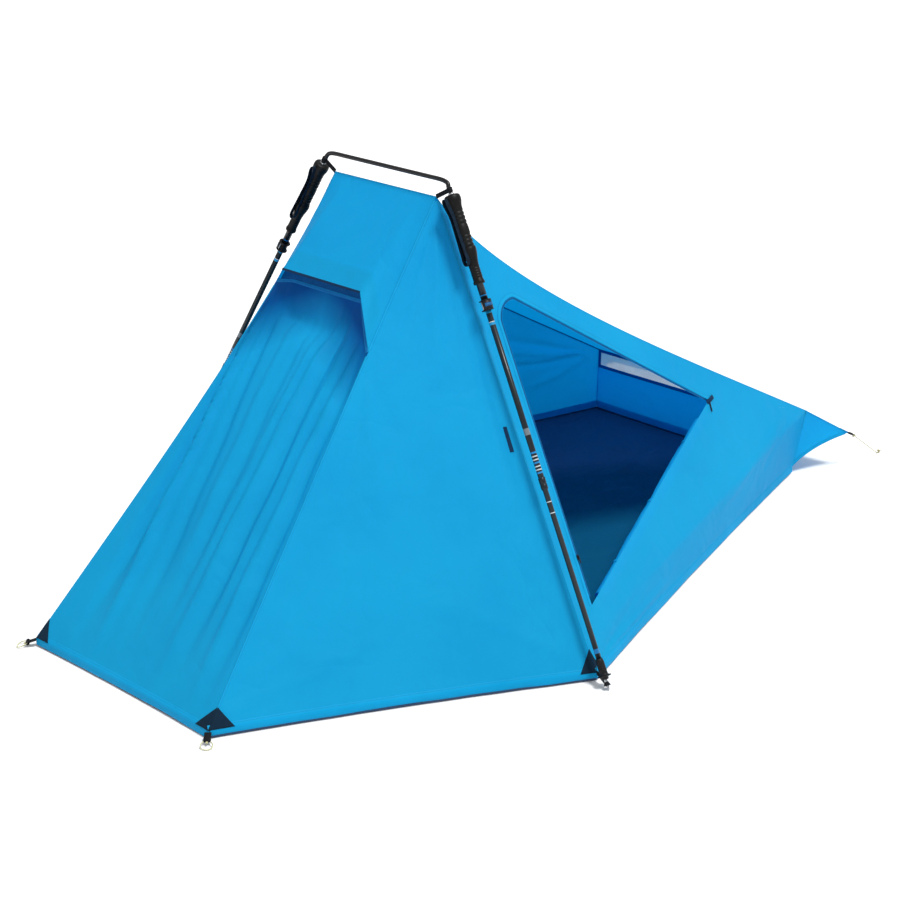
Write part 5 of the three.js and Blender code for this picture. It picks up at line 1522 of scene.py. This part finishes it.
def build_pole(name, s):
    matrix = pole_matrix(s)
    up = np.array(matrix.to_3x3() @ Vector((0, 0, 1)))
    shaft = f"shaft_{name}"
    tube_bore = SHAFT_RADIUS + 0.00035

    grip = lathe(f"grip_{name}", grip_profile(), matrix, grip_rubber, 56)
    finished(grip, "tent", "grip_foam", f"pole_grip_{name}")
    cap_profile = raised(POLE_LENGTH, ((0, -0.0006), (0.0122, -0.0006), (0.0122, 0.0002), (0.0105, 0.0008),
                                       (0.0072, 0.0008), (0.0070, 0.0002)))
    cap = lathe(f"grip_cap_{name}", cap_profile, matrix, black_moulded)
    finished(cap, "tent", "grip_foam")
    tube = lathe(f"grip_tube_{name}", tube_profile(tube_bore,
                                                   [(TUBE_RADIUS, LOCK_HIGH - 0.001),
                                                    (TUBE_RADIUS, POLE_LENGTH - 0.018)]), matrix, tube_paint)
    finished(tube, "tent", "black_alloy", f"pole_upper_tube_{name}")

    top = LOCK_HIGH + 0.085
    outer = [(SHAFT_RADIUS - 0.0003, COLLAR_HEIGHT + GAP), (SHAFT_RADIUS, COLLAR_HEIGHT + 0.0008),
             (SHAFT_RADIUS, top)]
    upper = lathe(f"upper_shaft_{name}", tube_profile(SHAFT_RADIUS - 0.0012, outer), matrix, shaft_paint)
    finished(upper, shaft, "black_alloy", f"pole_upper_shaft_{name}")
    collar = SHAFT_RADIUS + 0.0015
    outer = [(LOW_SHAFT_RADIUS, FERRULE_TOP + GAP)] + raised(COLLAR_HEIGHT, (
        (LOW_SHAFT_RADIUS, -0.034), (LOW_SHAFT_RADIUS + 0.0009, -0.0325), (collar - 0.0004, -0.031),
        (collar, -0.029),
        (collar, -0.019), (collar - 0.0006, -0.018), (collar - 0.0006, -0.016), (collar, -0.015),
        (collar, -0.001),
        (collar - 0.0008, 0)))
    lower = lathe(f"lower_shaft_{name}", tube_profile(LOW_SHAFT_RADIUS - 0.0012, outer), matrix,
                  low_shaft_paint)
    finished(lower, shaft, "black_alloy", f"pole_lower_shaft_{name}")

    disc = ((0.0085, -0.008), (0.0094, -0.0065), (0.0100, -0.002), (0.0140, -0.0008), (0.0183, 0.0002),
            (0.0190, 0.0012), (0.0188, 0.0026), (0.0150, 0.0032), (0.0116, 0.0050), (0.0110, 0.008),
            (0.0108, 0.014), (0.0111, 0.0155), (0.0111, 0.0180), (0.0107, 0.0195))
    ferrule = ((0.0105, -0.010), (0.0101, -0.006), (0.0092, -0.003), (0.0086, 0))
    outer = raised(BASKET_HEIGHT - 0.005, disc) + raised(FERRULE_TOP, ferrule)
    basket = lathe(f"basket_{name}", tube_profile(TIP_RADIUS + GAP, outer), matrix, black_moulded, 64,
                   scallop=basket_edge)
    finished(basket, shaft, "black_plastic", f"pole_basket_{name}")
    tip = lathe(f"tip_{name}", [(0, 0.0005), (0.0007, 0.0005), (0.0016, 0.0013), (0.0019, 0.0030),
                                (0.0021, 0.0040), (0.0029, 0.0052), (0.0031, 0.0080),
                                (0.0043, 0.0125), (0.0045, 0.0140), (0.0045, 0.0275),
                                (0.0045, FERRULE_TOP - 0.006), (0, FERRULE_TOP - 0.006)], matrix, tip_steel,
                                32)
    finished(tip, shaft, "steel_tip", f"pole_tip_{name}")

    core, flange = 0.012, 0.0165
    rim = [(flange - 0.0024, 0), (flange - 0.0008, 0.0005), (flange, 0.0014), (flange - 0.0002, 0.0026),
           (flange - 0.0012, 0.003), (core, 0.0031)]
    groove = [(core, 0.0135), (core - 0.0005, 0.0138), (core - 0.0005, 0.0152), (core, 0.0155)]
    outer = raised(LOCK_LOW, rim + groove) + [(r, LOCK_HIGH - z) for r, z in rim[::-1]]
    body = lathe(f"lock_body_{name}", tube_profile(tube_bore, outer), matrix, black_moulded, 56)
    finished(body, "tent", "black_plastic", f"pole_lock_body_{name}")

    turn = -s
    inner, thick = core + 2 * GAP, 0.0034
    arc = [math.pi + turn * a for a in np.linspace(0.22, 2.86, 44)]

    def round_the_lock(radius, angles):
        middle = (LOCK_LOW + LOCK_HIGH) / 2
        return np.array([to_row(matrix, (radius * math.cos(a), radius * math.sin(a),
                                         middle)) for a in angles])

    lever_path = round_the_lock(inner + thick / 2, arc)
    taper = np.clip(1.0 - 0.42 * np.clip((np.linspace(0, 1, 44) - 0.72) / 0.28, 0, 1) ** 2, 0.4, 1)
    w, t = (LOCK_LENGTH - 0.0066) / 2, thick / 2
    half_section = [(-t, -w + 0.001), (-t + 0.0008, -w), (t - 0.001, -w), (t, -w + 0.0012)]
    section = half_section + [(a, -b) for a, b in half_section[::-1]]
    lever = sweep(f"lock_lever_{name}", lever_path, section, up, black_moulded)
    co = np.array([v.co for v in lever.data.vertices]).reshape(44, 8, 3)
    drawn = lever_path[:, None] + (co - lever_path[:, None]) * taper[:, None, None]
    lever.data.vertices.foreach_set("co", drawn.reshape(-1).astype(np.float32))
    lever.data.update()
    finished(lever, f"lever_{name}", "black_plastic", f"pole_lock_lever_{name}")
    section = [(-0.0005, -0.0045), (0.0005, -0.0040), (0.0005, 0.0040), (-0.0005, 0.0045)]
    inset = sweep(f"lever_inset_{name}", round_the_lock(inner + thick + 0.0001, arc[6:34]), section, up,
                  blue_moulded)
    finished(inset, f"lever_{name}", "black_plastic")
    low, high = LOCK_LOW + 0.001, LOCK_HIGH - 0.001
    pivot = lathe(f"lock_pin_{name}", [(0, low), (0.0013, low), (0.0013, high), (0, high)],
                  matrix @ Matrix.Translation((-0.0142, 0, 0)), collar_steel, 20)
    finished(pivot, "tent", "black_plastic")

    height, reach, bearing = about_pole(matrix, pole_corner(s))
    strap = webbing_eye(f"foot_strap_tape_{name}", matrix, TIP_RADIUS + 0.0013, 0.0024, 0.012, reach - 0.0006,
                        height - 0.019, 0.013, bearing)
    finished(strap, "tent", "webbing", f"foot_strap_{name}")
    height, reach, bearing = about_pole(matrix, peak(s))
    tab = webbing_eye(f"peak_tab_tape_{name}", matrix, BAR_RADIUS + GAP, 0.0024, 0.012, reach - 0.0006, 0.0,
                      height - 0.006, bearing)
    finished(tab, "tent", "webbing", f"peak_tab_{name}")

    aside = unit(vec(-1, 0, 0) - up * (vec(-1, 0, 0) @ up))
    face = np.cross(up, aside)
    hang = grip_top(s) - up * 0.008 + aside * (GRIP_HEAD_RADIUS + 0.0075 - 0.0002)
    half_open = [(0.0, 0.0010), (0.0030, 0.0016), (0.0055, 0.0060), (0.0062, 0.014), (0.0052, 0.05),
                 (0.0058, 0.10), (0.0078, 0.150), (0.0080, 0.168), (0.0062, 0.178), (0.0030, 0.1828),
                 (0.0, 0.1840)]
    down_side = [hang + face * w - up * d - aside * strap_nearness(d) for w, d in half_open]
    up_side = [hang - face * w - up * d - aside * strap_nearness(d) for w, d in half_open[-2:0:-1]]
    loop_path = spline(down_side + up_side + [down_side[0]], 120)[:-1]
    strap = sweep(f"wrist_strap_tape_{name}", loop_path, tape_section(0.0125, 0.0014), aside, strap_web,
                  loop=True)
    finished(strap, f"wrist_{name}", "webbing", f"wrist_strap_{name}")
    return matrix


for side_name, side_sign in SIDES:
    build_pole(side_name, side_sign)


# ---- Bar between the grips ---------------------------------------------------------------
def bar_half(s):
    axis = unit(grip_top(s) - pole_tip(s))
    start, straight, bend = (grip_top(s) + axis * d for d in (GAP, 0.010, BAR_RISE - 0.005))
    top = PEAK_HEIGHT + BAR_ABOVE
    x, y = bend[0] + 0.003, abs(bend[1])
    return [start, straight, bend - vec(0, s * 0.001, 0.001), vec(x, s * (y - 0.007), top - 0.0065),
            vec(x, s * (y - 0.021), top - 0.0015), vec(x, s * (y - 0.040), top), vec(x, s * (y - 0.075), top)]


bar_path = spline(bar_half(RIGHT) + bar_half(LEFT)[::-1], 150)
bar = sweep("bar_tube", bar_path, circle(BAR_RADIUS, 20), (1, 0, 0), bar_alloy)
finished(bar, "tent", "black_alloy", "tent_bar")
for side_name, s in SIDES:
    matrix = pole_matrix(s)
    low = POLE_LENGTH + GAP
    outer = raised(low, ((0.0078, 0), (0.0082, 0.0006), (0.0082, 0.0034), (0.0078, 0.004)))
    ring_piece = lathe(f"bar_collar_{side_name}", tube_profile(BAR_RADIUS + 0.0001, outer), matrix,
                       collar_steel, 40)
    finished(ring_piece, "tent", "black_alloy")

# ---- Head corners: tabs and stake loops --------------------------------------------------
EYE_HEIGHT, EYE_BORE, EYE_WALL, TAB_REACH = 0.012, 0.0046, 0.0018, 0.024
LOOP_RADIUS, LOOP_CORD, LOOP_SLACK = 0.015, 0.0014, 0.0011
for side_name, s in SIDES:
    out = unit(vec(-0.72, s * 0.69, 0))
    corner = head_corner(s)
    eye = vec(corner[0], corner[1], EYE_HEIGHT) + out * TAB_REACH
    inward = -out
    climb = unit(inward * TAB_REACH + vec(0, 0, HEM_HEIGHT - EYE_HEIGHT - 0.004))
    across = vec(-inward[1], inward[0], 0)
    normal = np.cross(across, climb)
    matrix = Matrix((Vector((climb[0], normal[0], across[0], eye[0])),
                     Vector((climb[1], normal[1], across[1], eye[1])),
                     Vector((climb[2], normal[2], across[2], eye[2])), Vector((0, 0, 0, 1))))
    tab = webbing_eye(f"head_tab_tape_{side_name}", matrix, EYE_BORE, EYE_WALL, 0.018, TAB_REACH + 0.0006,
                      0.0, -0.009, 0.0)
    finished(tab, "tent", "webbing", f"head_tab_{side_name}")
    dip = math.asin((EYE_HEIGHT - LOOP_CORD - GAP) / (2 * LOOP_RADIUS + LOOP_SLACK))
    reach = out * math.cos(dip) + vec(0, 0, -math.sin(dip))
    side = vec(-out[1], out[0], 0)
    centre = eye + reach * (LOOP_RADIUS + LOOP_SLACK)
    path = [centre - reach * a + side * b * (1 - 0.14 * a / LOOP_RADIUS) for a, b in circle(LOOP_RADIUS, 64)]
    loop_piece = sweep(f"stake_loop_cord_{side_name}", path, circle(LOOP_CORD, 10), np.cross(reach, side),
                       loop_cord, loop=True)
    finished(loop_piece, f"loop_{side_name}", "guy_cord", f"stake_loop_{side_name}")
    loop_knot = knot(f"stake_loop_knot_{side_name}", eye + reach * 0.0085, side, 0.0045, loop_cord)
    finished(loop_knot, f"loop_{side_name}", "guy_cord")

    # The tail's ring: three rounded corners, the flat side against the cloth
    out = unit(tail(s) - wall_top(s))
    across = unit(vec(0, 1, 0) - out * out[1])
    normal = np.cross(out, across)
    centre = tail(s) + out * (RING_RADIUS + RING_WIRE + GAP)
    ring_path = []
    for a in np.linspace(0, 2 * math.pi, 72, endpoint=False):
        r = RING_RADIUS * (1 + 0.07 * math.cos(3 * a))
        ring_path.append(centre + out * r * math.cos(a) + across * r * math.sin(a))
    ring_piece = sweep(f"tail_ring_wire_{side_name}", ring_path, circle(RING_WIRE * 1.25, 12), normal,
                       black_moulded, loop=True)
    finished(ring_piece, "tent", "black_plastic", f"tail_ring_{side_name}")
    corner_patch(f"patch_tail_{side_name}", foot_hood, (1 if s == RIGHT else 0, 1), 0.040, 0.035)

# ---- Floor, light and background ---------------------------------------------------------
studio = Shade("studio_floor")
studio.set(Base_Color=rgb(0.93, 0.93, 0.93), Roughness=0.9, Specular_IOR_Level=0.1)
ground = mesh_piece("studio_ground", [(-60, -60, -0.001), (60, -60, -0.001), (60, 60, -0.001),
                                      (-60, 60, -0.001)], [(0, 1, 2, 3)],
                    [(0, 0), (1, 0), (1, 1), (0, 1)], studio.material)

world = bpy.data.worlds.new("studio")
bpy.context.scene.world = world
world.use_nodes = True
world.node_tree.nodes["Background"].inputs["Color"].default_value = (1, 1, 1, 1)
world.node_tree.nodes["Background"].inputs["Strength"].default_value = 0.62


def soft_sun(name, towards, strength, spread):
    light = bpy.data.lights.new(name, "SUN")
    light.energy = strength
    light.angle = math.radians(spread)
    made = bpy.data.objects.new(name, light)
    bpy.context.scene.collection.objects.link(made)
    made.rotation_euler = Vector(towards).to_track_quat("-Z", "Y").to_euler()


soft_sun("key", (-0.06, 0.38, -0.92), 2.85, 16)
bpy.context.scene.view_settings.view_transform = "Standard"

# ---- View layer update -------------------------------------------------------------------
bpy.context.view_layer.update()
